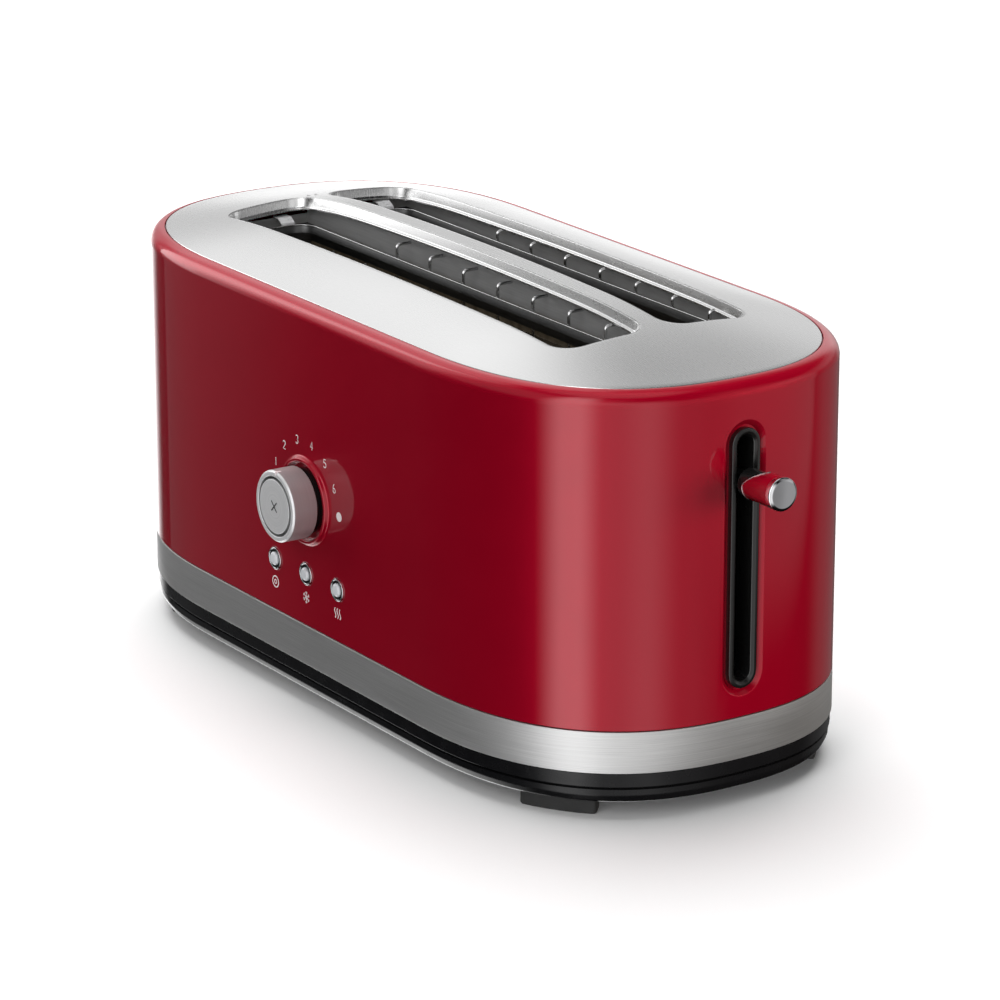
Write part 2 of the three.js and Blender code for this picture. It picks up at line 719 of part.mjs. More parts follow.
add('outer_shell', outerShell(), redPaint);
add('top_plate', topPlate(), brushedSteel);
add('steel_band', steelBand(), brushedSteel);
add('base', base(), blackPlastic);
add('foot_front_right', foot(1, -1), rubber);
add('foot_rear_right', foot(1, 1), rubber);
add('foot_front_left', foot(-1, -1), rubber);
add('foot_rear_left', foot(-1, 1), rubber);
add('cord_gland', cordGland(), blackPlastic);
bossPlaces.forEach((place, k) => add(`base_screw_${k + 1}`, baseScrew(place), polishedSteel));

add('crumb_tray', crumbTray(), sheetSteel);
add('crumb_tray_handle', trayPanel(), brushedSteel);

add('chassis_end_left', chassisEndLeft(), sheetSteel);
add('chassis_end_right', chassisEndRight(), sheetSteel);
add('front_reflector', reflector(-1), sheetSteel);
add('rear_reflector', reflector(1), sheetSteel);
add('front_heater', heaterBoard(-HEATER_OFFSET), mica);
add('centre_heater', heaterBoard(0), mica);
add('rear_heater', heaterBoard(HEATER_OFFSET), mica);
add('front_slot_liner', slotLiner(-1), sheetSteel);
add('rear_slot_liner', slotLiner(1), sheetSteel);
add('guide_rod_front', guideRod(-1), polishedSteel);
add('guide_rod_rear', guideRod(1), polishedSteel);
add('latch_magnet', latchMagnet(), copperRed);
add('terminal_block', terminalBlock(), greyPlastic);

add('front_guide_outer', breadGuide(-1, -1), springSteel);
add('front_guide_inner', breadGuide(-1, 1), springSteel);
add('rear_guide_inner', breadGuide(1, -1), springSteel);
add('rear_guide_outer', breadGuide(1, 1), springSteel);

add('lever_bezel', leverBezel(), blackPlastic);
add('carriage', carriage(), sheetSteel);
add('front_bread_rack', breadRack(-1), springSteel);
add('rear_bread_rack', breadRack(1), springSteel);
add('latch_armature', armature(), sheetSteel);
add('lift_spring', liftSpring(), springSteel);
add('lever_arm', leverArm(), sheetSteel);
add('lever_collar', leverCollar(), blackPlastic);
add('lever_knob', leverKnob(), redPaint);
add('lever_cap', leverCap(), polishedSteel);

add('browning_dial', browningDial(), brushedSteel);
add('cancel_button', cancelButton(), brushedSteel);
add('dial_bushing', dialBushing(), blackPlastic);
add('browning_potentiometer', potentiometer(), blackPlastic);
add('cancel_switch', cancelSwitch(), blackPlastic);
for (const [place, label] of [[-1, 'bagel'], [0, 'defrost'], [1, 'warm']]) {
  add(`${label}_button_ring`, buttonRing(place), polishedSteel);
  add(`${label}_button`, buttonCap(place), greyPlastic);
  add(`${label}_switch`, buttonSwitch(place), blackPlastic);
}
add('control_board', controlBoard(), circuitGreen);
add('control_board_bracket', boardBracket(), sheetSteel);

// The origin goes to the middle of the bounding box, at the level that the feet stand on.
const tilt = THREE.MathUtils.degToRad(LEVER_TILT);
const leverTip = LEVER_ROOT_X + LEVER_LENGTH * Math.cos(tilt) + (LEVER_RADIUS - LEVER_CHAMFER) * Math.sin(tilt);
const dialFront = frontY - DIAL_PROUD - 0.3;
toaster.position.x = (HALF_LENGTH - leverTip) / 2;
toaster.position.y = -(dialFront + rearY + HANDLE_PROUD) / 2;

export default toaster;
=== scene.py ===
"""The looks of a long-slot pop up toaster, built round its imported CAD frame."""
import math

import bmesh
import bpy
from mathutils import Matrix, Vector
from mathutils.geometry import delaunay_2d_cdt


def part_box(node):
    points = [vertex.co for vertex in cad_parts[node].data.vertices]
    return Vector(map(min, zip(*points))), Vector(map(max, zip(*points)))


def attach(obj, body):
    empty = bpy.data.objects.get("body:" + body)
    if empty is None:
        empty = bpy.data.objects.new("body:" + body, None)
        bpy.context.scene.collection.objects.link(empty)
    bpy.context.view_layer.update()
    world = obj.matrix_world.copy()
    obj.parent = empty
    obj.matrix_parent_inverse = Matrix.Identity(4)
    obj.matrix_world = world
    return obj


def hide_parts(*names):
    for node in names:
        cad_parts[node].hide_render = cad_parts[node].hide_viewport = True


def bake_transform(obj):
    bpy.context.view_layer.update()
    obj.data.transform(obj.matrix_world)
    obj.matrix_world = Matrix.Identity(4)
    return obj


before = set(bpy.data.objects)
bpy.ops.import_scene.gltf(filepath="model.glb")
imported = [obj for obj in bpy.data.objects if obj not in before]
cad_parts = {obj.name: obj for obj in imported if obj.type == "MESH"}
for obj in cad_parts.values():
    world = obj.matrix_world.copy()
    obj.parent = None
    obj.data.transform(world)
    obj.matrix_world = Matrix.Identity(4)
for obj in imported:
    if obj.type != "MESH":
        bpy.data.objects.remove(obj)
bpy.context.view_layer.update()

MM = 0.001

# ---- Driving dimensions, in millimetres about the middle of the body, taken from the frame ----

base_low, base_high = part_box("base")
shell_low, shell_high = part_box("outer_shell")
band_low, band_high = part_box("steel_band")
lid_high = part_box("top_plate")[1]
bezel_low, bezel_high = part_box("lever_bezel")
dial_low, dial_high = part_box("browning_dial")
cancel_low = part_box("cancel_button")[0]

CENTRE = (base_low + base_high) / 2
HALF_LENGTH = (shell_high.x - shell_low.x) / 2 / MM
HALF_WIDTH = (base_high.y - base_low.y) / 2 / MM + 0.6
STRAIGHT_HALF = 88.3
END_EXPONENT = 2.43
FRONT = -HALF_WIDTH

SHELL_BOTTOM = shell_low.z / MM
BAND_BOTTOM = band_low.z / MM
BAND_TOP = band_high.z / MM
BASE_BOTTOM = base_low.z / MM
BASE_TOP = BAND_BOTTOM - 0.2
BASE_GROOVE = 13.3
LID_EDGE = 183.8
LID_INSET = 7.1
LID_RISE = lid_high.z / MM - LID_EDGE
LID_END_FALL = 0.45
ROLL_START = 177.2

SLOT_X = (-141.0, 136.5)
SLOT_CENTRE_Y = 26.95
SLOT_WIDTH = 45.7
SLOT_CORNER = 12.0
COLLAR_DEPTH = 4.2
COLLAR_LEDGE = 1.6
LINER_X = (-125.5, 121.0)
LINER_WIDTH = 29.0
LINER_BOTTOM, LINER_FOLD, LINER_TOP = 176.0, 179.4, 182.4

WIRE_RADIUS = 0.7
RAIL_RADIUS = 0.68
WIRE_PITCH = 27.07
WIRE_X0 = 3.5
GUIDE_OFFSET = 16.45
GUIDE_BOTTOM = 54.7
INNER_HOOK = (188.5, 7.4)
OUTER_HOOK = (187.0, 2.4)

DIAL_Z = (dial_low.z + dial_high.z) / 2 / MM
DIAL_RADIUS = (dial_high.z - dial_low.z) / 2 / MM
DIAL_FRONT = (dial_low.y - CENTRE.y) / MM
DIAL_REAR = FRONT - 3.2
RING_OUTER = 19.8
RING_INNER = 17.0
BUTTON_Z = 62.8
BUTTON_PITCH = 26.0
BEZEL_Z = (bezel_low.z / MM, bezel_high.z / MM)
BEZEL_WIDTH = 14.1
BEZEL_OPENING = 8.2
RECESS_GROW = 3.3
RECESS_DEPTH = 2.3
LEVER_ROOT = (200.6, 141.6)
LEVER_TILT = math.radians(1.6)
LEVER_LENGTH = 22.5
LEVER_RADIUS = 7.0
TRAY_PANEL_HALF = 121.4
HANDLE_PROUD = 8.0
TRAY_Z = 24.0

# ---- Camera and light ----

CAMERA_AZIMUTH = math.radians(56.3)
CAMERA_ELEVATION = math.radians(17.84)
CAMERA_DISTANCE = 2.024
CAMERA_LENS = 163.31
CAMERA_AIM = (4.55, 7.95, 80.3)


def place(point):
    """A point in millimetres about the middle of the body, as a point in metres in the row frame."""
    return Vector((point[0] * MM + CENTRE.x, point[1] * MM + CENTRE.y, point[2] * MM))


def link_object(name, data):
    thing = bpy.data.objects.new(name, data)
    bpy.context.scene.collection.objects.link(thing)
    return thing


def make_camera():
    data = bpy.data.cameras.new("camera")
    data.sensor_width = 36.0
    data.lens = CAMERA_LENS
    data.clip_start, data.clip_end = 0.05, 60.0
    camera = link_object("camera", data)
    back = Vector((
        math.sin(CAMERA_AZIMUTH) * math.cos(CAMERA_ELEVATION),
        -math.cos(CAMERA_AZIMUTH) * math.cos(CAMERA_ELEVATION),
        math.sin(CAMERA_ELEVATION)))
    camera.location = place(CAMERA_AIM) + back * CAMERA_DISTANCE
    camera.rotation_mode = "QUATERNION"
    camera.rotation_quaternion = (-back).to_track_quat("-Z", "Y")
    bpy.context.scene.camera = camera


def new_node(tree, kind, inputs=None):
    """A shader node. An output given as an input is linked, and any other value is set on the socket."""
    node = tree.nodes.new(kind)
    for name, value in (inputs or {}).items():
        if isinstance(value, bpy.types.NodeSocket):
            tree.links.new(value, node.inputs[name])
        else:
            node.inputs[name].default_value = value
    return node


def math_node(tree, operation, a, b=None):
    node = new_node(tree, "ShaderNodeMath", {0: a} if b is None else {0: a, 1: b})
    node.operation = operation
    return node.outputs[0]


def object_axes(tree):
    """The X, Y and Z outputs of object coordinates."""
    source = tree.nodes.new("ShaderNodeTexCoord").outputs["Object"]
    return new_node(tree, "ShaderNodeSeparateXYZ", {0: source}).outputs


def times(tree, a, b):
    return math_node(tree, "MULTIPLY", a, b)


def plus(tree, a, b):
    return math_node(tree, "ADD", a, b)


def ramp(tree, value, zero_at, one_at):
    """0 at one value and 1 at another, with a smooth step between them."""
    node = new_node(tree, "ShaderNodeMapRange", {"Value": value, "From Min": zero_at, "From Max": one_at})
    node.interpolation_type = "SMOOTHSTEP"
    return node.outputs["Result"]


def soft_band(tree, value, middle, half, soft):
    """1 within half of middle, falling to 0 over soft beyond it."""
    away = math_node(tree, "ABSOLUTE", math_node(tree, "SUBTRACT", value, middle))
    return ramp(tree, away, half + soft, half)


# Each softbox round the set: azimuth of its middle, half width and soft edge, height of its middle, half
# height and soft edge, and brightness. Azimuths are degrees anticlockwise from +X, heights are degrees
# above the horizon.
SOFTBOXES = (
    (156, 6, 18, -28, 20, 14, 2.3),
    (185, 22, 26, -48, 8, 12, 2.0),
    (150, 22, 14, 12, 14, 16, 0.45),
    (168, 13, 14, 44, 12, 13, 0.85),
    (-158, 10, 12, 30, 20, 12, 0.60),
    (138, 18, 10, 32, 22, 18, 0.16),
    (-66, 4, 19, 0, 45, 30, 2.3),
    (-28, 14, 24, -4, 30, 18, 0.68),
    (0, 14, 22, -5, 22, 16, 0.3),
    (108, 14, 20, -5, 16, 14, 0.14),
    (95, 40, 20, 14, 5, 8, 0.18),
    (-100, 50, 40, 35, 12, 16, 0.28),
)
WORLD_FLOOR_LEVEL = 0.004
WORLD_TOP_LEVEL = 0.55
WORLD_TOP_BAND = (90, 14, 16)         # middle, half height and soft edge of the glow overhead


def make_world():
    world = bpy.data.worlds.new("studio")
    bpy.context.scene.world = world
    world.use_nodes = True
    tree = world.node_tree
    background = tree.nodes["Background"]
    direction = tree.nodes.new("ShaderNodeTexCoord").outputs["Generated"]
    axes = new_node(tree, "ShaderNodeSeparateXYZ", {0: direction}).outputs
    azimuth = times(tree, math_node(tree, "ARCTAN2", axes["Y"], axes["X"]), 180 / math.pi)
    height = times(tree, math_node(tree, "ARCSINE", axes["Z"]), 180 / math.pi)
    total = times(tree, soft_band(tree, height, *WORLD_TOP_BAND), WORLD_TOP_LEVEL)
    total = plus(tree, total, WORLD_FLOOR_LEVEL)
    for middle, half, soft, level, tall, fade, bright in SOFTBOXES:
        wrapped = math_node(tree, "WRAP", math_node(tree, "SUBTRACT", azimuth, middle - 180), 360.0)
        wrapped.node.inputs[2].default_value = 0.0
        across = soft_band(tree, wrapped, 180, half, soft)
        up = soft_band(tree, height, level, tall, fade)
        total = plus(tree, total, times(tree, times(tree, across, up), bright))
    tree.links.new(total, background.inputs["Strength"])
    background.inputs["Color"].default_value = (1, 1, 1, 1)


# Lamps: where each stands, its size, its power in watts, its colour and whether it falls on the floor.
LAMPS = (
    ("key_over", (-0.75, 0.45, 2.4), (2.7, 2.7), 87, (1.0, 1.0, 1.0), True),
    ("fill_right", (1.8, 1.35, 0.4), (1.2, 0.8), 34, (1.0, 0.9, 0.8), False),
    ("fill_left", (-2.0, -0.7, 0.6), (1.2, 1.2), 17, (1.0, 1.0, 1.0), False),
)
LAMP_TARGET = Vector((0, 0, 0.1))


def area_light(name, position, size, power, color):
    data = bpy.data.lights.new(name, "AREA")
    data.shape = "RECTANGLE"
    data.size, data.size_y = size
    data.energy = power
    data.color = color
    light = link_object(name, data)
    light.location = position
    light.rotation_mode = "QUATERNION"
    light.rotation_quaternion = (LAMP_TARGET - Vector(position)).to_track_quat("-Z", "Y")
    light.visible_glossy = False
    return light


FLOOR_HALF = 12.0
FLOOR_SHADE = (0.93, 0.93, 0.93, 1)
FLOOR_GLOW = 0.04
FLOOR_FADE = (0.5, 1.6)               # from here the floor brightens, and from here it is white


def make_floor():
    data = bpy.data.meshes.new("floor")
    corners = [(x * FLOOR_HALF, y * FLOOR_HALF, 0) for x, y in ((-1, -1), (1, -1), (1, 1), (-1, 1))]
    data.from_pydata(corners, [], [(0, 1, 2, 3)])
    floor = link_object("floor", data)
    material = new_material("floor_white", FLOOR_SHADE, 0.9, Specular_IOR_Level=0.0,
                            Emission_Color=(1, 1, 1, 1))
    tree = material.node_tree
    place_on_floor = tree.nodes.new("ShaderNodeTexCoord").outputs["Object"]
    reach = new_node(tree, "ShaderNodeVectorMath", {0: place_on_floor})
    reach.operation = "LENGTH"
    glow = plus(tree, ramp(tree, reach.outputs["Value"], *FLOOR_FADE), FLOOR_GLOW)
    feed(material, "Emission Strength", glow)
    data.materials.append(material)
    floor.visible_glossy = False
    floor.visible_diffuse = False
    return floor


def make_lights(floor):
    for name, position, size, power, color, on_floor in LAMPS:
        light = area_light(name, position, size, power, color)
        if not on_floor:
            keep_off(light, floor)
    reflector_left()
    reflector_right()


def keep_off(light, thing):
    """Stops a light from falling on one object."""
    group = bpy.data.collections.new(f"{light.name}_receivers")
    group.objects.link(thing)
    group.collection_objects[0].light_linking.link_state = "EXCLUDE"
    light.light_linking.receiver_collection = group


def reflector_card(name, corners):
    """A glowing card that only reflections see, and that lets what is behind it through.

    Returns its node tree, its axes and the node whose strength says how it glows."""
    data = bpy.data.meshes.new(name)
    data.from_pydata(corners, [], [(0, 1, 2, 3)])
    card = link_object(name, data)
    card.visible_camera = False
    card.visible_diffuse = False
    card.visible_shadow = False
    card.visible_transmission = False
    material = bpy.data.materials.new(name)
    material.use_nodes = True
    tree = material.node_tree
    tree.nodes.clear()
    glow = tree.nodes.new("ShaderNodeEmission")
    clear = tree.nodes.new("ShaderNodeBsdfTransparent")
    both = new_node(tree, "ShaderNodeAddShader", {0: glow.outputs[0], 1: clear.outputs[0]})
    new_node(tree, "ShaderNodeOutputMaterial", {"Surface": both.outputs[0]})
    data.materials.append(material)
    return tree, object_axes(tree), glow


CARD_LEFT_Y = -0.36
CARD_LEFT_X = (-1.9, -0.3)
CARD_LEFT_Z = (-0.6, 1.3)
CARD_LEFT_GLOW = (2.0, 0.13)          # above and below the height of the dial
CARD_RIGHT_X = 0.35
CARD_RIGHT_Y = (0.0, 1.4)
CARD_RIGHT_Z = (-0.5, 0.6)
CARD_RIGHT_SLANT = 0.18
CARD_RIGHT_GLOW = 0.33


def reflector_left():
    """In front and to the left: bright above, faint below, and fading towards the middle."""
    (x0, x1), (z0, z1), y = CARD_LEFT_X, CARD_LEFT_Z, CARD_LEFT_Y
    tree, axes, glow = reflector_card("card_left", [(x0, y, z0), (x1, y, z0), (x1, y, z1), (x0, y, z1)])
    x, z = axes["X"], axes["Z"]
    upper = times(tree, ramp(tree, z, 0.04, 0.17), ramp(tree, x, -0.42, -0.60))
    upper = times(tree, upper, ramp(tree, z, 1.2, 0.45))
    lower = times(tree, ramp(tree, z, 0.17, 0.04), ramp(tree, x, -0.42, -0.62))
    total = plus(tree, times(tree, upper, CARD_LEFT_GLOW[0]), times(tree, lower, CARD_LEFT_GLOW[1]))
    tree.links.new(total, glow.inputs["Strength"])


def reflector_right():
    """Behind the right end: its slanted lower edge leaves the bottom of the end face dark."""
    (y0, y1), (z0, z1), x = CARD_RIGHT_Y, CARD_RIGHT_Z, CARD_RIGHT_X
    tree, axes, glow = reflector_card("card_right", [(x, y0, z0), (x, y1, z0), (x, y1, z1), (x, y0, z1)])
    y, z = axes["Y"], axes["Z"]
    slant = plus(tree, z, times(tree, math_node(tree, "SUBTRACT", y, 0.15), CARD_RIGHT_SLANT))
    lit = times(tree, ramp(tree, slant, -0.03, 0.05), ramp(tree, y, 0.03, 0.13))
    lit = times(tree, lit, ramp(tree, y, 1.35, 0.6))
    lit = times(tree, lit, ramp(tree, z, 0.42, 0.2))
    tree.links.new(times(tree, lit, CARD_RIGHT_GLOW), glow.inputs["Strength"])


# ---- Node helpers ----


def linear(red, green, blue):
    """A display colour from 0 to 255 as linear light."""
    out = []
    for channel in (red, green, blue):
        c = channel / 255
        out.append(c / 12.92 if c <= 0.04045 else ((c + 0.055) / 1.055) ** 2.4)
    return (*out, 1.0)


def new_material(name, color, roughness, metallic=0.0, **sockets):
    material = bpy.data.materials.new(name)
    material.use_nodes = True
    shader = material.node_tree.nodes["Principled BSDF"]
    shader.inputs["Base Color"].default_value = color
    shader.inputs["Roughness"].default_value = roughness
    shader.inputs["Metallic"].default_value = metallic
    for socket, value in sockets.items():
        shader.inputs[socket.replace("_", " ")].default_value = value
    return material


def coordinates(material, scale=(1, 1, 1)):
    tree = material.node_tree
    source = tree.nodes.new("ShaderNodeTexCoord").outputs["Object"]
    return new_node(tree, "ShaderNodeMapping", {"Vector": source, "Scale": scale}).outputs["Vector"]


def noise(material, vector, scale=1.0, detail=4.0, rough=0.55):
    inputs = {"Vector": vector, "Scale": scale, "Detail": detail, "Roughness": rough}
    return new_node(material.node_tree, "ShaderNodeTexNoise", inputs).outputs["Fac"]


def ranged(material, value, low, high, source=(0.3, 0.7)):
    inputs = {"Value": value, "From Min": source[0], "From Max": source[1], "To Min": low, "To Max": high}
    return new_node(material.node_tree, "ShaderNodeMapRange", inputs).outputs["Result"]


def mixed(material, factor, first, second):
    node = material.node_tree.nodes.new("ShaderNodeMix")
    node.data_type = "RGBA"
    node.inputs["A"].default_value = first
    node.inputs["B"].default_value = second
    material.node_tree.links.new(factor, node.inputs["Factor"])
    return node.outputs["Result"]


def bump(material, height, distance, strength):
    inputs = {"Height": height, "Distance": distance, "Strength": strength}
    return new_node(material.node_tree, "ShaderNodeBump", inputs).outputs["Normal"]


def feed(material, socket, output):
    shader = material.node_tree.nodes["Principled BSDF"]
    material.node_tree.links.new(output, shader.inputs[socket])


# ---- Materials ----

MATERIALS = {}


def enamel(name, color, deep):
    """Gloss enamel: slight orange peel, faint depth variation in the colour, a clear hard coat."""
    material = new_material(name, color, 0.4, 0.4, Coat_Weight=1.0, Coat_Roughness=0.05, Coat_IOR=1.5,
                            Specular_IOR_Level=0.05)
    vector = coordinates(material)
    cloud = noise(material, vector, 22, 3)
    feed(material, "Base Color", mixed(material, cloud, color, deep))
    feed(material, "Roughness", ranged(material, noise(material, vector, 60, 3), 0.37, 0.43))
    peel = noise(material, vector, 520, 2, 0.5)
    feed(material, "Normal", bump(material, peel, 0.00001, 0.35))
    return material


def brushed(name, color, dark, scale, roughness, depth=0.000006, anisotropic=0.0, metallic=1.0, vary=0.07):
    """Steel brushed along the directions in which scale is small, anisotropic where that runs round Z."""
    material = new_material(name, color, roughness, metallic, Anisotropic=anisotropic)
    if anisotropic:
        tangent = material.node_tree.nodes.new("ShaderNodeTangent")
        tangent.direction_type = "RADIAL"
        tangent.axis = "Z"
        feed(material, "Tangent", tangent.outputs["Tangent"])
    fine = noise(material, coordinates(material, scale), 1, 6, 0.75)
    slow = noise(material, coordinates(material), 14, 3)
    feed(material, "Base Color", mixed(material, ranged(material, fine, 0, 1), dark, color))
    rough = ranged(material, fine, roughness - vary, roughness + vary)
    feed(material, "Roughness", plus(material.node_tree, rough, ranged(material, slow, -0.01, 0.01)))
    feed(material, "Normal", bump(material, fine, depth, 0.6))
    return material


def polished(name, color, roughness=0.08):
    material = new_material(name, color, roughness, 1.0)
    vector = coordinates(material)
    smudge = noise(material, vector, 90, 4)
    feed(material, "Roughness", ranged(material, smudge, roughness * 0.6, roughness * 1.5))
    dull = (*(0.93 * c for c in color[:3]), 1.0)
    feed(material, "Base Color", mixed(material, noise(material, vector, 30, 2), color, dull))
    return material


def moulded(name, color, lighter, roughness, grain=0.00002, coat=0.0):
    """Moulded plastic or rubber: fine spark texture with faint flow marks."""
    material = new_material(name, color, roughness, 0.0, Coat_Weight=coat, Coat_Roughness=0.12)
    vector = coordinates(material)
    flow = noise(material, vector, 18, 4)
    feed(material, "Base Color", mixed(material, flow, color, lighter))
    marks = noise(material, vector, 130, 3)
    feed(material, "Roughness", ranged(material, marks, roughness - 0.06, roughness + 0.06))
    feed(material, "Normal", bump(material, noise(material, vector, 2600, 2), grain, 0.5))
    return material


def mica_sheet():
    material = new_material("mica", linear(120, 106, 86), 0.55, 0.0)
    vector = coordinates(material)
    voronoi = new_node(material.node_tree, "ShaderNodeTexVoronoi", {"Vector": vector, "Scale": 240})
    flakes = voronoi.outputs["Distance"]
    feed(material, "Base Color", mixed(material, flakes, linear(96, 82, 66), linear(136, 124, 104)))
    feed(material, "Roughness", ranged(material, noise(material, vector, 80, 3), 0.45, 0.65))
    feed(material, "Normal", bump(material, flakes, 0.00004, 0.5))
    return material


TURNING_SCALE = 5200.0


def spun(name, color, dark, centre_z):
    """Steel turned on a lathe about an axis along Y: fine rings round it, and painted shade that makes the
    sides darker than the faces.
    """
    material = new_material(name, color, 0.34, 0.45)
    tree = material.node_tree
    axes = object_axes(tree)
    x = math_node(tree, "SUBTRACT", axes["X"], CENTRE.x)
    z = math_node(tree, "SUBTRACT", axes["Z"], centre_z * MM)
    radius = math_node(tree, "SQRT", plus(tree, times(tree, x, x), times(tree, z, z)))
    rings = {"X": times(tree, radius, TURNING_SCALE), "Y": times(tree, axes["Y"], TURNING_SCALE)}
    lines = noise(material, new_node(tree, "ShaderNodeCombineXYZ", rings).outputs["Vector"], 1, 4, 0.7)
    normal = tree.nodes.new("ShaderNodeNewGeometry").outputs["Normal"]
    facing = new_node(tree, "ShaderNodeSeparateXYZ", {0: normal}).outputs["Y"]
    # painted shade: the colour falls to half where the surface turns away from facing along Y
    painted_side_shade = ranged(material, math_node(tree, "ABSOLUTE", facing), 0.5, 1.0, (0.2, 0.8))
    tint = mixed(material, ranged(material, lines, 0, 1), dark, color)
    shade = new_node(tree, "ShaderNodeVectorMath", {0: tint})
    shade.operation = "SCALE"
    tree.links.new(painted_side_shade, shade.inputs["Scale"])
    feed(material, "Base Color", shade.outputs["Vector"])
    feed(material, "Roughness", ranged(material, lines, 0.3, 0.44))
    feed(material, "Normal", bump(material, lines, 0.000004, 0.6))
    return material


def grey(level, blue=0.0):
    """Linear grey, with a little more blue where that is given."""
    return (level, level, level + blue, 1.0)


def printed(name, color, first, second):
    material = new_material(name, linear(*color), 0.5)
    speckle = noise(material, coordinates(material), 900, 2)
    feed(material, "Base Color", mixed(material, speckle, linear(*first), linear(*second)))
    return material


def make_materials():
    made = MATERIALS
    made["red"] = enamel("red_enamel", linear(172, 2, 36), linear(166, 2, 34))
    made["lid"] = brushed("lid_steel", grey(0.82), grey(0.79), (120, 2600, 120), 0.27, 0.0000008, vary=0.015)
    made["band"] = brushed("band_steel", grey(0.80), grey(0.56), (24, 24, 4200), 0.36, 0.000008, 0.75, 0.82)
    made["dial"] = spun("dial_steel", grey(0.90, 0.01), grey(0.74, 0.01), DIAL_Z)
    made["chrome"] = polished("chrome", grey(0.83, 0.02))
    made["wire"] = polished("plated_wire", grey(0.58), 0.22)
    made["base"] = moulded("base_black", grey(0.006, 0.001), grey(0.010, 0.001), 0.24, 0.000008)
    made["base"].node_tree.nodes["Principled BSDF"].inputs["Specular IOR Level"].default_value = 0.3
    made["gloss_black"] = moulded("trim_black", grey(0.008), grey(0.012), 0.22, 0.000006, 0.3)
    made["foot"] = moulded("foot_rubber", grey(0.012), grey(0.02), 0.7)
    made["pearl"] = moulded("button_pearl", linear(206, 208, 212), linear(214, 216, 220), 0.3, 0.000006, 0.4)
    made["sheet"] = brushed("inner_sheet", grey(0.24), grey(0.17), (60, 60, 900), 0.38)
    # painted shade: the liner is a darker copy of the inner sheet steel, for the shade down inside the slots
    made["liner"] = brushed("liner_sheet_painted_shade", grey(0.12), grey(0.08), (60, 60, 900), 0.34)
    # painted light: the guard panels are a lighter, less metallic copy of the inner sheet steel, standing in
    # for light that barely reaches them
    made["panel"] = brushed("panel_sheet_painted_light", grey(0.50), grey(0.38), (40, 40, 900), 0.42, metallic=0.35)
    made["clip"] = brushed("clip_steel", grey(0.80, 0.01), grey(0.66, 0.01), (60, 60, 900), 0.3,
                           metallic=0.55)
    made["mica"] = mica_sheet()
    made["board"] = moulded("circuit_board", linear(24, 84, 44), linear(34, 100, 54), 0.45, coat=0.3)
    made["copper"] = brushed("winding_copper", (0.50, 0.21, 0.09, 1), (0.30, 0.12, 0.05, 1),
                             (60, 60, 2600), 0.35)
    made["print"] = printed("printed_white", (236, 228, 228), (240, 232, 232), (226, 214, 216))
    made["dark_print"] = printed("printed_grey", (62, 62, 64), (58, 58, 60), (72, 72, 74))


# ---- Mesh helpers ----


WELD = 1e-6
SHARP_ANGLE = 34.0


def mesh_data(name, builder, weld):
    """Mesh data from points in millimetres about the body's middle, with its faces turned outwards."""
    data = bpy.data.meshes.new(name)
    data.from_pydata([place(p) for p in builder.points], [], builder.faces)
    if weld:
        data.validate()
    work = bmesh.new()
    work.from_mesh(data)
    if weld:
        bmesh.ops.remove_doubles(work, verts=work.verts, dist=WELD)
    bmesh.ops.recalc_face_normals(work, faces=work.faces)
    work.to_mesh(data)
    work.free()
    return data


class Builder:
    """Collects the points and faces of a piece, or of several parts of one."""

    def __init__(self):
        self.points = []
        self.faces = []

    def loft(self, rows, closed_rows=False, closed_columns=True, capped=False):
        start = len(self.points)
        width = len(rows[0])
        for row in rows:
            self.points.extend(row)
        count = len(rows)
        for k in range(count if closed_rows else count - 1):
            below = start + k * width
            above = start + ((k + 1) % count) * width
            for i in range(width if closed_columns else width - 1):
                j = (i + 1) % width
                self.faces.append((below + i, below + j, above + j, above + i))
        if capped:
            last = start + (count - 1) * width
            self.faces.append(tuple(range(start + width - 1, start - 1, -1)))
            self.faces.append(tuple(range(last, last + width)))
        return self

    def box(self, x, y, z):
        return self.loft(box_rows(x, y, z), capped=True)

    def piece(self, name, material, body, slot, replaces=(), sharp=SHARP_ANGLE):
        """Makes the piece, which rides on a CAD body."""
        data = mesh_data(name, self, weld=True)
        data.shade_smooth()
        data.set_sharp_from_angle(angle=math.radians(sharp))
        data.materials.append(MATERIALS[material])
        piece = link_object(name, data)
        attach(piece, body)
        if replaces:
            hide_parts(*replaces)
        return piece


def solid(rows):
    """A loft with both ends capped."""
    return Builder().loft(rows, capped=True)


def directions(path):
    """The direction of a path at each of its points."""
    last = len(path) - 1
    return [(Vector(path[min(i + 1, last)]) - Vector(path[max(i - 1, 0)])).normalized()
            for i in range(len(path))]


def resample(points, count):
    """count points at even spacing along an open polyline, its two ends kept."""
    lengths = [0.0]
    for a, b in zip(points, points[1:]):
        lengths.append(lengths[-1] + math.dist(a, b))
    out = []
    k = 0
    for i in range(count):
        wanted = lengths[-1] * i / (count - 1)
        while k < len(points) - 2 and lengths[k + 1] < wanted:
            k += 1
        span = lengths[k + 1] - lengths[k]
        t = 0 if span == 0 else (wanted - lengths[k]) / span
        out.append(tuple(a + (b - a) * t for a, b in zip(points[k], points[k + 1])))
    return out


FINE_STEPS = 400


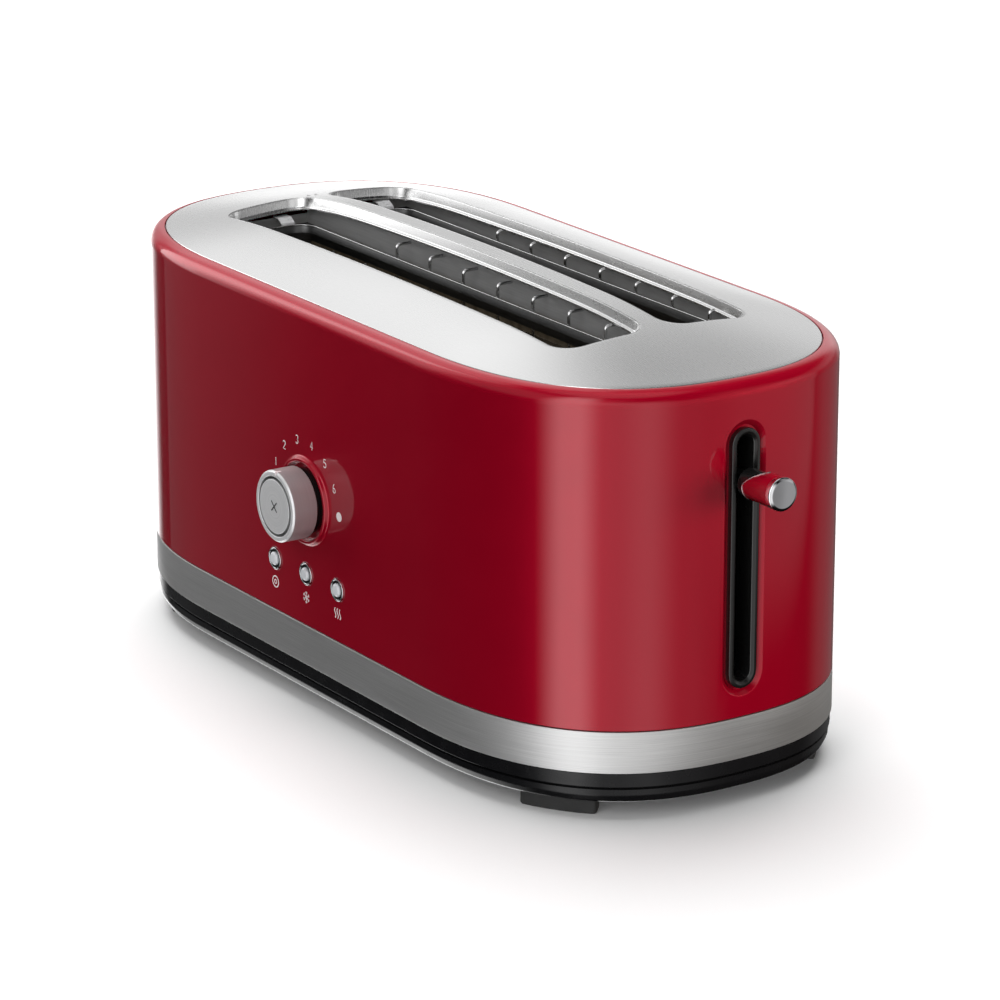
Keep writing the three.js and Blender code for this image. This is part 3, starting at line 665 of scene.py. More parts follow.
def plan_outline(inset, end_count=26, straight_count=16):
    """The body's outline from above, moved inwards by inset, anticlockwise from +X."""
    reach = HALF_LENGTH - inset - STRAIGHT_HALF
    half = HALF_WIDTH - inset
    dense = []
    for i in range(FINE_STEPS + 1):
        t = (i / FINE_STEPS) * math.pi / 2
        x = STRAIGHT_HALF + reach * max(math.cos(t), 0.0) ** (2 / END_EXPONENT)
        dense.append((x, half * math.sin(t) ** (2 / END_EXPONENT)))
    quarter = resample(dense, end_count)
    top = list(quarter)
    for i in range(1, straight_count):
        top.append((STRAIGHT_HALF - 2 * STRAIGHT_HALF * i / straight_count, half))
    top += [(-x, y) for x, y in reversed(quarter)]
    return top + [(x, -y) for x, y in reversed(top[1:-1])]


def oval_share(along):
    """What is left of one half axis of the body's end curve, at a share along the other."""
    return max(1 - along ** END_EXPONENT, 0.0) ** (1 / END_EXPONENT)


def end_depth(y):
    """The outline's X at the +X end, at a distance y from its middle."""
    return STRAIGHT_HALF + (HALF_LENGTH - STRAIGHT_HALF) * oval_share(abs(y) / HALF_WIDTH)


def rear_y(x, inset):
    """The outline's Y at the back, at a distance x from its middle."""
    reach = HALF_LENGTH - inset - STRAIGHT_HALF
    return (HALF_WIDTH - inset) * oval_share(max(abs(x) - STRAIGHT_HALF, 0) / reach)


def fillet(profile, radii, steps=4, closed=False):
    """Rounds the corners of a 2D polyline. radii is one radius, or one per point."""
    count = len(profile)
    if isinstance(radii, (int, float)):
        radii = [radii] * count
    out = []
    for i, corner in enumerate(profile):
        radius = radii[i]
        if radius <= 0 or (not closed and i in (0, count - 1)):
            out.append(tuple(corner))
            continue
        here = Vector(corner)
        back = Vector(profile[i - 1]) - here
        ahead = Vector(profile[(i + 1) % count]) - here
        turn = back.angle(ahead)
        reach = radius / math.tan(turn / 2)
        reach = min(reach, back.length * 0.499, ahead.length * 0.499)
        first = here + back.normalized() * reach
        last = here + ahead.normalized() * reach
        for k in range(steps + 1):
            t = k / steps
            point = first * (1 - t) ** 2 + here * 2 * t * (1 - t) + last * t ** 2
            out.append((point.x, point.y))
    return out


def ring_rows(profile):
    """One row of points round the body's outline for each (inset, z) of the profile."""
    return [[(x, y, z) for x, y in plan_outline(inset)] for inset, z in profile]


def lathe_rows(profile, centre, sides=64):
    """Rows round an axis along Y. Profile points are (radius, y), and centre is the axis's X and Z."""
    rows = []
    for radius, y in profile:
        row = []
        for k in range(sides):
            angle = 2 * math.pi * k / sides
            row.append((centre[0] + radius * math.cos(angle), y, centre[1] + radius * math.sin(angle)))
        rows.append(row)
    return rows


def turned(profile, centre, sides):
    """A closed section turned about an axis along Y."""
    return Builder().loft(lathe_rows(profile, centre, sides), closed_rows=True)


def stadium(width, z, count=96):
    """A rounded slot's outline in Y and Z, anticlockwise from its lower right."""
    radius = width / 2
    straight = z[1] - z[0] - width
    total = 2 * math.pi * radius + 2 * straight
    out = []
    for k in range(count):
        s = total * k / count
        if s < straight:
            out.append((radius, z[0] + radius + s))
            continue
        s -= straight
        if s < math.pi * radius:
            angle = s / radius
            out.append((radius * math.cos(angle), z[1] - radius + radius * math.sin(angle)))
            continue
        s -= math.pi * radius
        if s < straight:
            out.append((-radius, z[1] - radius - s))
            continue
        angle = math.pi + (s - straight) / radius
        out.append((radius * math.cos(angle), z[0] + radius + radius * math.sin(angle)))
    return out


def rounded_rectangle(x, y, radius, corner_steps=10, straight_steps=(40, 8)):
    """Anticlockwise outline with evenly divided straight sides."""
    corners = ((x[1] - radius, y[0] + radius, -90), (x[1] - radius, y[1] - radius, 0),
               (x[0] + radius, y[1] - radius, 90), (x[0] + radius, y[0] + radius, 180))
    out = []
    for k, (cx, cy, start) in enumerate(corners):
        for i in range(corner_steps + 1):
            angle = math.radians(start + 90 * i / corner_steps)
            out.append((cx + radius * math.cos(angle), cy + radius * math.sin(angle)))
        next_x, next_y, next_start = corners[(k + 1) % 4]
        angle = math.radians(next_start)
        goal = (next_x + radius * math.cos(angle), next_y + radius * math.sin(angle))
        here = out[-1]
        steps = straight_steps[1] if k % 2 == 0 else straight_steps[0]
        for i in range(1, steps):
            t = i / steps
            out.append((here[0] + (goal[0] - here[0]) * t, here[1] + (goal[1] - here[1]) * t))
    return out


def cut(piece, cutters):
    """Cuts closed meshes out of a piece, and applies the cut."""
    bpy.context.view_layer.update()
    for cutter in cutters:
        modifier = piece.modifiers.new("cut", "BOOLEAN")
        modifier.operation = "DIFFERENCE"
        modifier.solver = "EXACT"
        modifier.object = cutter
    graph = bpy.context.evaluated_depsgraph_get()
    made = bpy.data.meshes.new_from_object(piece.evaluated_get(graph))
    material = piece.data.materials[0]
    piece.modifiers.clear()
    piece.data = made
    made.materials.clear()
    made.materials.append(material)
    made.shade_smooth()
    made.set_sharp_from_angle(angle=math.radians(SHARP_ANGLE))
    for cutter in cutters:
        bpy.data.objects.remove(cutter)
    modifier = piece.modifiers.new("weighted", "WEIGHTED_NORMAL")
    modifier.keep_sharp = True
    modifier.weight = 60


def cutter_from(builder, name):
    return link_object(name, mesh_data(name, builder, weld=False))


def box_rows(x, y, z):
    """Two rows that make a box when both are capped."""
    corners = [(x[0], y[0]), (x[1], y[0]), (x[1], y[1]), (x[0], y[1])]
    return [[(a, b, height) for a, b in corners] for height in z]


def drum(centre, radius, span, sides):
    return solid(lathe_rows([(radius, y) for y in span], centre, sides))


# ---- Shell ----

SHELL_THICKNESS = 1.2
WELL_RADIUS = 6.2
BUTTONS = ((-1, "bagel"), (0, "defrost"), (1, "warm"))


def shell_profile():
    rise = LID_EDGE - ROLL_START
    outer = [(0.35, SHELL_BOTTOM), (0.0, SHELL_BOTTOM + 0.35), (0.0, 90.0), (0.0, 140.0)]
    for k in range(15):
        angle = math.radians(88) * k / 14
        outer.append(((LID_INSET - 0.3) * (1 - math.cos(angle)), ROLL_START + rise * math.sin(angle)))
    lip = [(LID_INSET - 0.35, LID_EDGE - 0.35), (LID_INSET - 0.35, LID_EDGE - 2.2),
           (LID_INSET + 3, LID_EDGE - 2.2), (LID_INSET + 3, LID_EDGE - 3.2), (4.6, LID_EDGE - 3.2),
           (2.2, LID_EDGE - 5.2),
           (SHELL_THICKNESS, ROLL_START - 1), (SHELL_THICKNESS, SHELL_BOTTOM)]
    return outer + lip


def lever_recess(builder):
    """A pressed lip: a chamfer with rounded edges, from the shell's surface to a land round the bezel."""
    count = 120
    land = RECESS_DEPTH
    lip = fillet([(-1.2, 0), (0, 0), (RECESS_GROW - 0.9, land), (RECESS_GROW, land),
                  (RECESS_GROW + 0.6, land), (RECESS_GROW + 0.6, land + 1.5)], [0, 0.7, 0.5, 0, 0.2, 0], 5)
    outer = (BEZEL_Z[0] - RECESS_GROW, BEZEL_Z[1] + RECESS_GROW)
    rows = []
    for inward, depth in lip:
        width = BEZEL_WIDTH + 2 * (RECESS_GROW - inward)
        line = stadium(width, (outer[0] + inward, outer[1] - inward), count)
        rows.append([(end_depth(y) - depth, y, z) for y, z in line])
    builder.loft(rows)


def dial_ring(builder):
    """The raised rounded ring that the shell forms round the dial, and the dark recess edge inside it."""
    profile = fillet([(RING_OUTER + 1.6, FRONT), (RING_OUTER, FRONT), (RING_OUTER - 0.7, FRONT - 2.0),
                      (RING_INNER + 0.5, FRONT - 1.9), (RING_INNER, FRONT + 1.2), (9.4, FRONT + 1.2),
                      (9.4, FRONT + 2.6)], [0, 1.2, 0.8, 0.7, 0.5, 0.2, 0], 5)
    builder.loft(lathe_rows(profile, (0, DIAL_Z), 96))


def button_well(builder, index):
    centre = (index * BUTTON_PITCH, BUTTON_Z)
    profile = fillet([(WELL_RADIUS, FRONT), (5.25, FRONT), (5.25, FRONT + 2.4)], [0, 0.35, 0], 3)
    builder.loft(lathe_rows(profile, centre, 48))


def shell_piece():
    builder = Builder().loft(ring_rows(shell_profile()), closed_rows=True)
    shell = builder.piece("shell_skin", "red", "root", "shell_red", ["outer_shell"])
    grow = RECESS_GROW + 1.2
    line = stadium(BEZEL_WIDTH + 2 * grow, (BEZEL_Z[0] - grow, BEZEL_Z[1] + grow), 120)
    through = (FRONT - 4, FRONT + 4)
    cutters = [cutter_from(solid([[(x, y, z) for y, z in line] for x in (180, 205)]), "lever_hole"),
               cutter_from(drum((0, DIAL_Z), RING_OUTER + 1.6, through, 96), "dial_hole")]
    features = Builder()
    lever_recess(features)
    dial_ring(features)
    for index, _ in BUTTONS:
        hole = drum((index * BUTTON_PITCH, BUTTON_Z), WELL_RADIUS, through, 48)
        cutters.append(cutter_from(hole, f"button_hole{index + 1}"))
        button_well(features, index)
    cut(shell, cutters)
    features.piece("shell_pressings", "red", "root", "shell_red")


# ---- Lid ----


def outline_share(x, y):
    """How far out a point lies on the lid, as a share of the way from its spine to its edge."""
    reach, half = HALF_LENGTH - LID_INSET, HALF_WIDTH - LID_INSET
    along = max(abs(x) - STRAIGHT_HALF, 0) / (reach - STRAIGHT_HALF)
    return (along ** END_EXPONENT + (abs(y) / half) ** END_EXPONENT) ** (1 / END_EXPONENT)


def lid_height(x, y):
    """Height of the crowned lid. Equal shares are level lines, apart from the fall to the ends."""
    fall = 1 - LID_END_FALL * (x / (HALF_LENGTH - LID_INSET)) ** 2
    return LID_EDGE + LID_RISE * (1 - min(outline_share(x, y), 1) ** 2) * fall


def slot_line(side, inset):
    middle = side * SLOT_CENTRE_Y
    half = SLOT_WIDTH / 2 - inset
    return rounded_rectangle((SLOT_X[0] + inset, SLOT_X[1] - inset), (middle - half, middle + half),
                             SLOT_CORNER - inset, 12, (90, 10))


def inside_slot(x, y, margin):
    """Whether a point is inside a slot's outline grown by margin."""
    for side in (-1, 1):
        middle = side * SLOT_CENTRE_Y
        half = SLOT_WIDTH / 2
        dx = max(SLOT_X[0] + SLOT_CORNER - x, x - (SLOT_X[1] - SLOT_CORNER), 0)
        dy = max(abs(y - middle) - (half - SLOT_CORNER), 0)
        if math.hypot(dx, dy) < SLOT_CORNER + margin:
            return True
    return False


LID_STEPS = (30, 44)
LID_EDGE_LOOP = LID_INSET + 0.4
LID_GRID = 4.5


def lid_line(inset):
    return plan_outline(inset, *LID_STEPS)


def lid_mesh_points():
    """Plan points for the lid's mesh, and the edges of its three border loops."""
    points, edges = [], []
    for loop in [lid_line(LID_EDGE_LOOP)] + [slot_line(side, 0) for side in (-1, 1)]:
        start = len(points)
        points.extend(loop)
        edges += [(start + i, start + (i + 1) % len(loop)) for i in range(len(loop))]
    points += lid_line(LID_INSET + 3.0)
    guides = [lid_line(LID_INSET + 7.0)] + [slot_line(side, -d) for side in (-1, 1) for d in (1.2, 3.2)]
    for loop in guides:
        points += [p for p in loop if not inside_slot(*p, 1.0)]
    for i in range(-44, 45):
        for j in range(-20, 21):
            x, y = i * LID_GRID, j * LID_GRID + (LID_GRID / 2 if i % 2 else 0)
            if outline_share(x, y) < 0.9 and not inside_slot(x, y, 5.2):
                points.append((x, y))
    return points, edges


def lid_dome(builder):
    points, edges = lid_mesh_points()
    verts, _, faces, *_ = delaunay_2d_cdt([Vector(p) for p in points], edges, [], 0, 1e-5)
    builder.points = [(v.x, v.y, lid_height(v.x, v.y)) for v in verts]
    limit = outline_share(*points[0]) + 1e-3
    for face in faces:
        x = sum(verts[i].x for i in face) / len(face)
        y = sum(verts[i].y for i in face) / len(face)
        if not inside_slot(x, y, 0) and outline_share(x, y) < limit:
            builder.faces.append(tuple(face))


def lid_piece():
    builder = Builder()
    lid_dome(builder)
    edge = []
    for inset, drop in ((0.4, 0), (0.18, 0.07), (0.05, 0.25), (0.0, 0.5), (0.0, 1.6), (2.0, 1.6)):
        pairs = zip(lid_line(LID_INSET + inset), lid_line(LID_EDGE_LOOP))
        edge.append([(x, y, lid_height(*top) - drop) for (x, y), top in pairs])
    builder.loft(edge)
    ledge = 1.4 + COLLAR_LEDGE
    collar = fillet([(0, 0), (0.12, 0), (0.15, -0.7), (0.6, -0.7), (0.62, -0.12), (1.0, -0.12),
                     (1.6, -COLLAR_DEPTH), (ledge, -COLLAR_DEPTH - 0.2), (ledge, -COLLAR_DEPTH - 1.1)],
                    [0, 0.1, 0.1, 0.1, 0.1, 0.5, 0.6, 0.35, 0], 4)
    for side in (-1, 1):
        rim = slot_line(side, 0)
        builder.loft([[(x, y, lid_height(*top) + drop) for (x, y), top in zip(slot_line(side, inset), rim)]
                      for inset, drop in collar])
    builder.piece("lid_plate", "lid", "root", "lid_steel", ["top_plate"])


# ---- Band, base and feet ----


def rear_arc(half, outer, inset, count=60):
    """The stretch of outline across the back, from +X to -X, or the rest of it when outer is True."""
    line = plan_outline(inset, 60, 40)
    behind = [p for p in line if p[1] > 0 and abs(p[0]) < half]
    edge = [(half, rear_y(half, inset)), (-half, rear_y(half, inset))]
    if not outer:
        return resample([edge[0], *behind, edge[1]], count)
    start = max(i for i, p in enumerate(line) if p in behind) + 1
    rest = line[start:] + line[:start]
    rest = [p for p in rest if p not in behind]
    return resample([edge[1], *rest, edge[0]], count)


def strip(builder, profile, half, outer, count):
    """A closed section carried along an open stretch of the outline, with flat ends."""
    rows = [[(x, y, z) for x, y in rear_arc(half, outer, inset, count)] for inset, z in profile]
    builder.loft(rows, closed_rows=True, closed_columns=False)
    start = len(builder.points) - len(rows) * count
    for column in (0, count - 1):
        builder.faces.append(tuple(start + k * count + column for k in range(len(rows))))


def band_profile(bottom, top):
    return fillet([(0, bottom), (0, top), (1.2, top), (1.2, bottom)], 0.25, 3, closed=True)


def band_piece():
    builder = Builder()
    strip(builder, band_profile(BAND_BOTTOM, BAND_TOP), TRAY_PANEL_HALF + 0.3, True, 260)
    builder.piece("steel_band_skin", "band", "root", "band_steel", ["steel_band"])


HANDLE_HALF = 32.0
HANDLE_SECTION = ((1.2, 2.0), (0.3, 2.2), (0.0, 2.9), (0.0, 4.1), (0.3, 4.8), (1.2, 5.0))


def tray_panel():
    builder = Builder()
    strip(builder, band_profile(BAND_BOTTOM + 0.2, BAND_TOP - 0.2), TRAY_PANEL_HALF, False, 90)
    builder.piece("crumb_tray_panel", "band", "tray", "band_steel", ["crumb_tray_handle"])
    near, far = HALF_WIDTH - 6.5, HALF_WIDTH + HANDLE_PROUD
    outline = fillet([(-HANDLE_HALF, near), (HANDLE_HALF, near), (HANDLE_HALF, far), (-HANDLE_HALF, far)],
                     [0.4, 0.4, 5, 5], 8, closed=True)
    rows = [[(x - math.copysign(inset, x), min(y, far - inset), TRAY_Z + z) for x, y in outline]
            for inset, z in HANDLE_SECTION]
    solid(rows).piece("crumb_tray_pull", "gloss_black", "tray", "trim_black")


BASE_WALL_TOP = 44.0
VENT_PITCH = 26
VENT_HALF = (9, 2)
VENT_Y = 28


def base_piece():
    neck = BASE_GROOVE - 0.2
    step = BASE_GROOVE + 0.9
    profile = [(9.0, BASE_BOTTOM)]
    profile += fillet([(5.6, BASE_BOTTOM), (2.6, BASE_BOTTOM + 0.6), (1.15, 10.4), (1.15, BASE_GROOVE - 0.3)],
                      [0, 2.2, 2.6, 0], 6)
    profile += fillet([(1.15, BASE_GROOVE - 0.3), (1.5, neck), (3.0, neck), (3.0, step), (0.6, step),
                       (0.6, BASE_TOP), (3.4, BASE_TOP)], [0, 0.3, 0.1, 0.1, 0.35, 0.35, 0], 3)
    profile += [(4.0, 10.0)]
    base = solid(ring_rows(profile)).piece("base_moulding", "base", "root", "base_black", ["base"])
    cutters = []
    for k in range(-3, 4):
        for y in (-VENT_Y, VENT_Y):
            x, half_x, half_y = k * VENT_PITCH, *VENT_HALF
            slot = box_rows((x - half_x, x + half_x), (y - half_y, y + half_y), (0, 14))
            cutters.append(cutter_from(solid(slot), "vent"))
    cut(base, cutters)
    wall = Builder()
    bottom = BASE_TOP - 0.4
    strip(wall, [(1.7, bottom), (1.7, BASE_WALL_TOP), (3.6, BASE_WALL_TOP), (3.6, bottom)],
          TRAY_PANEL_HALF + 0.5, True, 200)
    wall.piece("base_wall", "base", "root", "base_black")


FOOT_DEPTH = 9.5
FOOT_X = (145, 174)
FOOT_STEPS = 12
FOOT_SECTION = ((1.4, 0.0), (0.5, 0.15), (0.0, 0.8), (0.0, 6.4))


def foot_outline(sign_x, sign_y):
    """A foot follows a stretch of the base's edge, with square ends and rounded corners."""
    edge = [p for p in plan_outline(5.6, 160, 16) if p[1] > 0 and FOOT_X[0] <= p[0] <= FOOT_X[1]]
    outer = resample(sorted(edge), FOOT_STEPS)
    inner = []
    for point, along in zip(outer, directions(outer)):
        inner.append((point[0] + along.y * FOOT_DEPTH, point[1] - along.x * FOOT_DEPTH))
    ends = (0, FOOT_STEPS - 1, FOOT_STEPS, 2 * FOOT_STEPS - 1)
    corners = [2.4 if i in ends else 0 for i in range(2 * FOOT_STEPS)]
    loop = fillet(outer + inner[::-1], corners, 5, closed=True)
    return [(x * sign_x, y * sign_y) for x, y in loop]


def foot_piece(name, sign_x, sign_y):
    line = foot_outline(sign_x, sign_y)
    middle = Vector((sum(p[0] for p in line) / len(line), sum(p[1] for p in line) / len(line)))
    rows = []
    for shrink, z in FOOT_SECTION:
        row = []
        for x, y in line:
            away = Vector((x, y)) - middle
            point = middle + away * (1 - shrink / max(away.length, 1e-6))
            row.append((point.x, point.y, z))
        rows.append(row)
    solid(rows).piece(f"{name}_skin", "foot", "root", "foot_black", [name])


# ---- Lever ----


BEZEL_BACK = 191.6


def bezel_piece():
    rim = (BEZEL_WIDTH - BEZEL_OPENING) / 2
    face = HALF_LENGTH + 0.6
    profile = fillet([(0, BEZEL_BACK), (0, face - 0.4), (rim * 0.5, face), (rim, face - 1.1), (rim, 186.5)],
                     [0, 0.5, 0.8, 0.8, 0], 5)
    rows = []
    for inset, x in profile:
        line = stadium(BEZEL_WIDTH - 2 * inset, (BEZEL_Z[0] + inset, BEZEL_Z[1] - inset), 120)
        rows.append([(x, y, z) for y, z in line])
    back = stadium(BEZEL_WIDTH, BEZEL_Z, 120)
    rows.append([(BEZEL_BACK, y, z) for y, z in back])
    Builder().loft(rows).piece("lever_bezel_skin", "gloss_black", "root", "trim_black", ["lever_bezel"])


def on_lever(point):
    """From a point (along the lever, across, up) to the body's frame."""
    along, across, up = point
    c, s = math.cos(LEVER_TILT), math.sin(LEVER_TILT)
    return (LEVER_ROOT[0] + along * c - up * s, across, LEVER_ROOT[1] + along * s + up * c)


SADDLE_START = 2.6
SADDLE_DEPTH = 8.0
LEVER_SIDES = 72
SADDLE_FADE = 14.0                    # the saddle has died away this far along the grip


def lever_edge(angle):
    """Where the grip's root edge lies along the lever. A saddle dips forward on its top."""
    return SADDLE_START + SADDLE_DEPTH * max(math.sin(angle), 0.0) ** 1.6


def lever_rows(profile, edge=None):
    """Rows round the lever. Profile points are (radius, along), counted from the edge where that is given."""
    rows = []
    for radius, along in profile:
        row = []
        for k in range(LEVER_SIDES):
            angle = 2 * math.pi * k / LEVER_SIDES
            start = edge(angle) if edge else 0.0
            share = max(0.0, 1 - along / SADDLE_FADE) if edge else 1.0
            row.append(on_lever((along + start * share, radius * math.cos(angle), radius * math.sin(angle))))
        rows.append(row)
    return rows


def lever_pieces():
    end = LEVER_LENGTH - 3.6
    radius = LEVER_RADIUS
    body = "lever_carriage"
    grip = fillet([(radius - 2.0, 0.3), (radius - 0.3, 0.3), (radius - 0.15, 14.0), (radius - 0.1, end - 0.2),
                   (3.0, end - 0.2)], [0, 0.35, 0, 0.3, 0], 5)
    solid(lever_rows(grip, lever_edge)).piece("lever_grip", "red", body, "lever_red", ["lever_knob"])
    cap = fillet([(3.0, end), (radius + 0.15, end), (radius + 0.15, LEVER_LENGTH - 1.0),
                  (radius - 1.2, LEVER_LENGTH - 0.25), (1.5, LEVER_LENGTH - 0.02)], [0, 0.4, 0.9, 1.6, 0], 6)
    solid(lever_rows(cap)).piece("lever_end_cap", "chrome", body, "polished_metal", ["lever_cap"])
    trim = fillet([(radius - 1.6, -0.35), (radius - 0.15, -0.35), (radius - 0.15, 0.25),
                   (radius - 1.6, 0.25)], 0.2, 3, closed=True)
    Builder().loft(lever_rows(trim, lever_edge), closed_rows=True).piece(
        "lever_root_trim", "chrome", body, "polished_metal")
    cup = fillet([(1.0, -1.25), (radius - 0.75, -1.25), (radius - 0.75, 11.5), (1.0, 11.5)],
                 [0, 0.6, 0.2, 0], 4)
    solid(lever_rows(cup)).piece("lever_root_cup", "gloss_black", body, "trim_black", ["lever_collar"])


# ---- Dial, buttons and their markings ----


POINTER_ANGLE = math.radians(85)
POINTER_CORNERS = ((-0.55, -0.9), (0.55, -0.9), (0.55, 0.75), (-0.55, 0.75))
CANCEL_FRONT = (cancel_low.y - CENTRE.y) / MM


def dial_pieces():
    front, rear, edge = DIAL_FRONT, DIAL_REAR, DIAL_RADIUS
    centre = (0, DIAL_Z)
    profile = fillet([(4.4, front + 5.4), (13.4, front + 5.4), (13.4, front + 0.2), (13.6, front),
                      (edge - 0.75, front + 0.02), (edge, front + 0.8), (edge, rear - 0.4),
                      (edge - 0.5, rear), (9, rear), (9, FRONT + 4), (4.4, FRONT + 4)],
                     [0, 0.4, 0.2, 0.25, 0.3, 0.35, 0.2, 0.2, 0.3, 0, 0], 4, closed=True)
    turned(profile, centre, 96).piece("dial_drum", "dial", "dial", "dial_steel", ["browning_dial"])
    # painted shade: a black skirt behind the drum fills the ring's recess, standing in for the shade in the
    # gap round the dial
    skirt = [(9.3, rear + 0.05), (edge - 1.3, rear + 0.05), (edge - 1.3, FRONT + 0.6), (9.3, FRONT + 0.6)]
    skirt = fillet(skirt, 0.2, 2, closed=True)
    turned(skirt, centre, 80).piece("dial_shade_skirt", "gloss_black", "dial", "trim_black")
    rows = []
    middle = edge - 0.65
    for y in (front - 0.05, front + 2.6):
        row = []
        for du, dv in POINTER_CORNERS:
            angle = POINTER_ANGLE - du / middle
            row.append(((middle + dv) * math.cos(angle), y, DIAL_Z + (middle + dv) * math.sin(angle)))
        rows.append(row)
    solid(rows).piece("dial_pointer", "print", "dial", "dial_steel")
    disc = fillet([(1.0, CANCEL_FRONT + 0.12), (12.15, CANCEL_FRONT + 0.16), (12.2, CANCEL_FRONT + 2.7),
                   (3.4, CANCEL_FRONT + 2.8), (3.4, FRONT + 10)], [0, 0.3, 0.2, 0.3, 0], 5)
    solid(lathe_rows(disc, centre, 80)).piece("cancel_disc", "dial", "cancel", "dial_steel",
                                              ["cancel_button"])


def button_pieces():
    for index, label in BUTTONS:
        centre = (index * BUTTON_PITCH, BUTTON_Z)
        ring = fillet([(4.3, FRONT + 2.5), (4.3, FRONT - 0.6), (5.05, FRONT - 0.6), (5.05, FRONT + 2.5)],
                      [0, 0.3, 0.3, 0], 4, closed=True)
        turned(ring, centre, 56).piece(f"{label}_ring", "chrome", "root", "polished_metal",
                                       [f"{label}_button_ring"])
        sleeve = [(3.1, FRONT + 2.2), (3.1, FRONT - 0.1), (4.26, FRONT - 0.1), (4.26, FRONT + 2.2)]
        turned(sleeve, centre, 48).piece(f"{label}_sleeve", "gloss_black", "root", "trim_black")
        cap = fillet([(0.8, FRONT - 1.6), (2.2, FRONT - 1.5), (3.0, FRONT - 0.7), (3.0, FRONT + 8)],
                     [0, 0.9, 0.6, 0], 5)
        solid(lathe_rows(cap, centre, 48)).piece(f"{label}_cap", "pearl", label, "button_grey",
                                                 [f"{label}_button"])


PRINT_DEPTH = 0.12


def stroke(points, width, y, closed=False):
    """A thin printed line that faces the front. Points are (x, z)."""
    count = len(points)
    left, right = [], []
    for i, point in enumerate(points):
        before = points[i - 1] if (i or closed) else point
        after = points[(i + 1) % count] if (i < count - 1 or closed) else point
        direction = Vector((after[0] - before[0], after[1] - before[1])).normalized()
        side = Vector((-direction.y, direction.x)) * width / 2
        left.append((point[0] + side.x, y, point[1] + side.y))
        right.append((point[0] - side.x, y, point[1] - side.y))
    behind = y + PRINT_DEPTH
    rows = [left, right, [(x, behind, z) for x, _, z in right], [(x, behind, z) for x, _, z in left]]
    sections = [[row[i] for row in rows] for i in range(count)]
    return Builder().loft(sections, closed_rows=closed, capped=not closed)


def arc(centre, radius, start, end, steps=20):
    out = []
    for k in range(steps + 1):
        angle = math.radians(start + (end - start) * k / steps)
        out.append((centre[0] + radius * math.cos(angle), centre[1] + radius * math.sin(angle)))
    return out


def join(builders):
    whole = Builder()
    for part in builders:
        start = len(whole.points)
        whole.points += part.points
        whole.faces += [tuple(i + start for i in face) for face in part.faces]
    return whole


PRINT_Y = FRONT - 0.06
PRINT_SHARP = 20
MARK_Z = 52.0
DIGIT_HEIGHT = 3.7
DIGIT_RADIUS = 27.0


def digit_strokes(figure):
    """A figure in a box one high and about 0.6 wide, about its middle."""
    if figure == 1:
        return [[(-0.12, 0.36), (0.06, 0.5), (0.06, -0.5)]]
    if figure == 2:
        return [arc((0, 0.22), 0.27, 165, -35, 12) + [(-0.27, -0.5), (0.29, -0.5)]]
    if figure == 3:
        return [arc((-0.02, 0.24), 0.25, 150, -90, 12) + arc((-0.02, -0.24), 0.27, 90, -150, 12)[1:]]
    if figure == 4:
        return [[(0.12, -0.5), (0.12, 0.5), (-0.3, -0.2), (0.3, -0.2)]]
    if figure == 5:
        return [[(0.26, 0.5), (-0.2, 0.5), (-0.23, 0.08)] + arc((-0.01, -0.18), 0.3, 115, -150, 14)]
    return [arc((0.3, 0.1), 0.55, 125, 180, 6) + arc((0, -0.22), 0.27, 180, 540, 20)]


def scale_marks():
    parts = []
    for figure in range(1, 7):
        angle = math.radians(180 - 180 * figure / 7)
        cx, cz = DIGIT_RADIUS * math.cos(angle), DIAL_Z + DIGIT_RADIUS * math.sin(angle)
        for line in digit_strokes(figure):
            points = [(cx + x * DIGIT_HEIGHT * 0.92, cz + z * DIGIT_HEIGHT) for x, z in line]
            parts.append(stroke(points, 0.42, PRINT_Y))
    parts.append(filled_disc((DIGIT_RADIUS + 1.0, DIAL_Z), 2.1))
    light = (-DIGIT_RADIUS - 1.0, DIAL_Z)
    parts.append(stroke(arc(light, 1.9, 0, 345, 23), 0.45, PRINT_Y, closed=True))
    join(parts).piece("scale_print", "print", "root", "shell_red", sharp=PRINT_SHARP)


def filled_disc(centre, radius):
    rim = arc(centre, radius, 0, 360 - 15, 23)
    return solid([[(x, y, z) for x, z in rim] for y in (PRINT_Y, PRINT_Y + PRINT_DEPTH)])


def button_marks():
    """Plain pictures under the three buttons: a ring with a hole, a frost star and warm-air waves."""
    z = MARK_Z
    parts = [stroke(arc((-BUTTON_PITCH, z), 2.5, 0, 350, 30), 0.55, PRINT_Y, closed=True),
             stroke(arc((-BUTTON_PITCH, z), 0.9, 0, 340, 16), 0.5, PRINT_Y, closed=True)]
    for k in range(3):
        angle = math.radians(30 + 60 * k)
        dx, dz = 2.6 * math.cos(angle), 2.6 * math.sin(angle)
        parts.append(stroke([(-dx, z - dz), (dx, z + dz)], 0.45, PRINT_Y))
        for sign in (-1, 1):
            for bend in (-40, 40):
                tip = Vector((sign * dx * 0.62, sign * dz * 0.62))
                turn = angle + math.radians(bend)
                out = Vector((math.cos(turn), math.sin(turn))) * sign
                parts.append(stroke([(tip.x, z + tip.y), (tip.x + out.x, z + tip.y + out.y)], 0.4, PRINT_Y))
    for k in (-1, 0, 1):
        x = BUTTON_PITCH + k * 1.9
        wave = [(x + 0.55 * math.sin(t / 12 * 2 * math.pi), z - 2.3 + 4.6 * t / 12) for t in range(13)]
        parts.append(stroke(wave, 0.5, PRINT_Y))
    join(parts).piece("button_print", "print", "root", "shell_red", sharp=PRINT_SHARP)


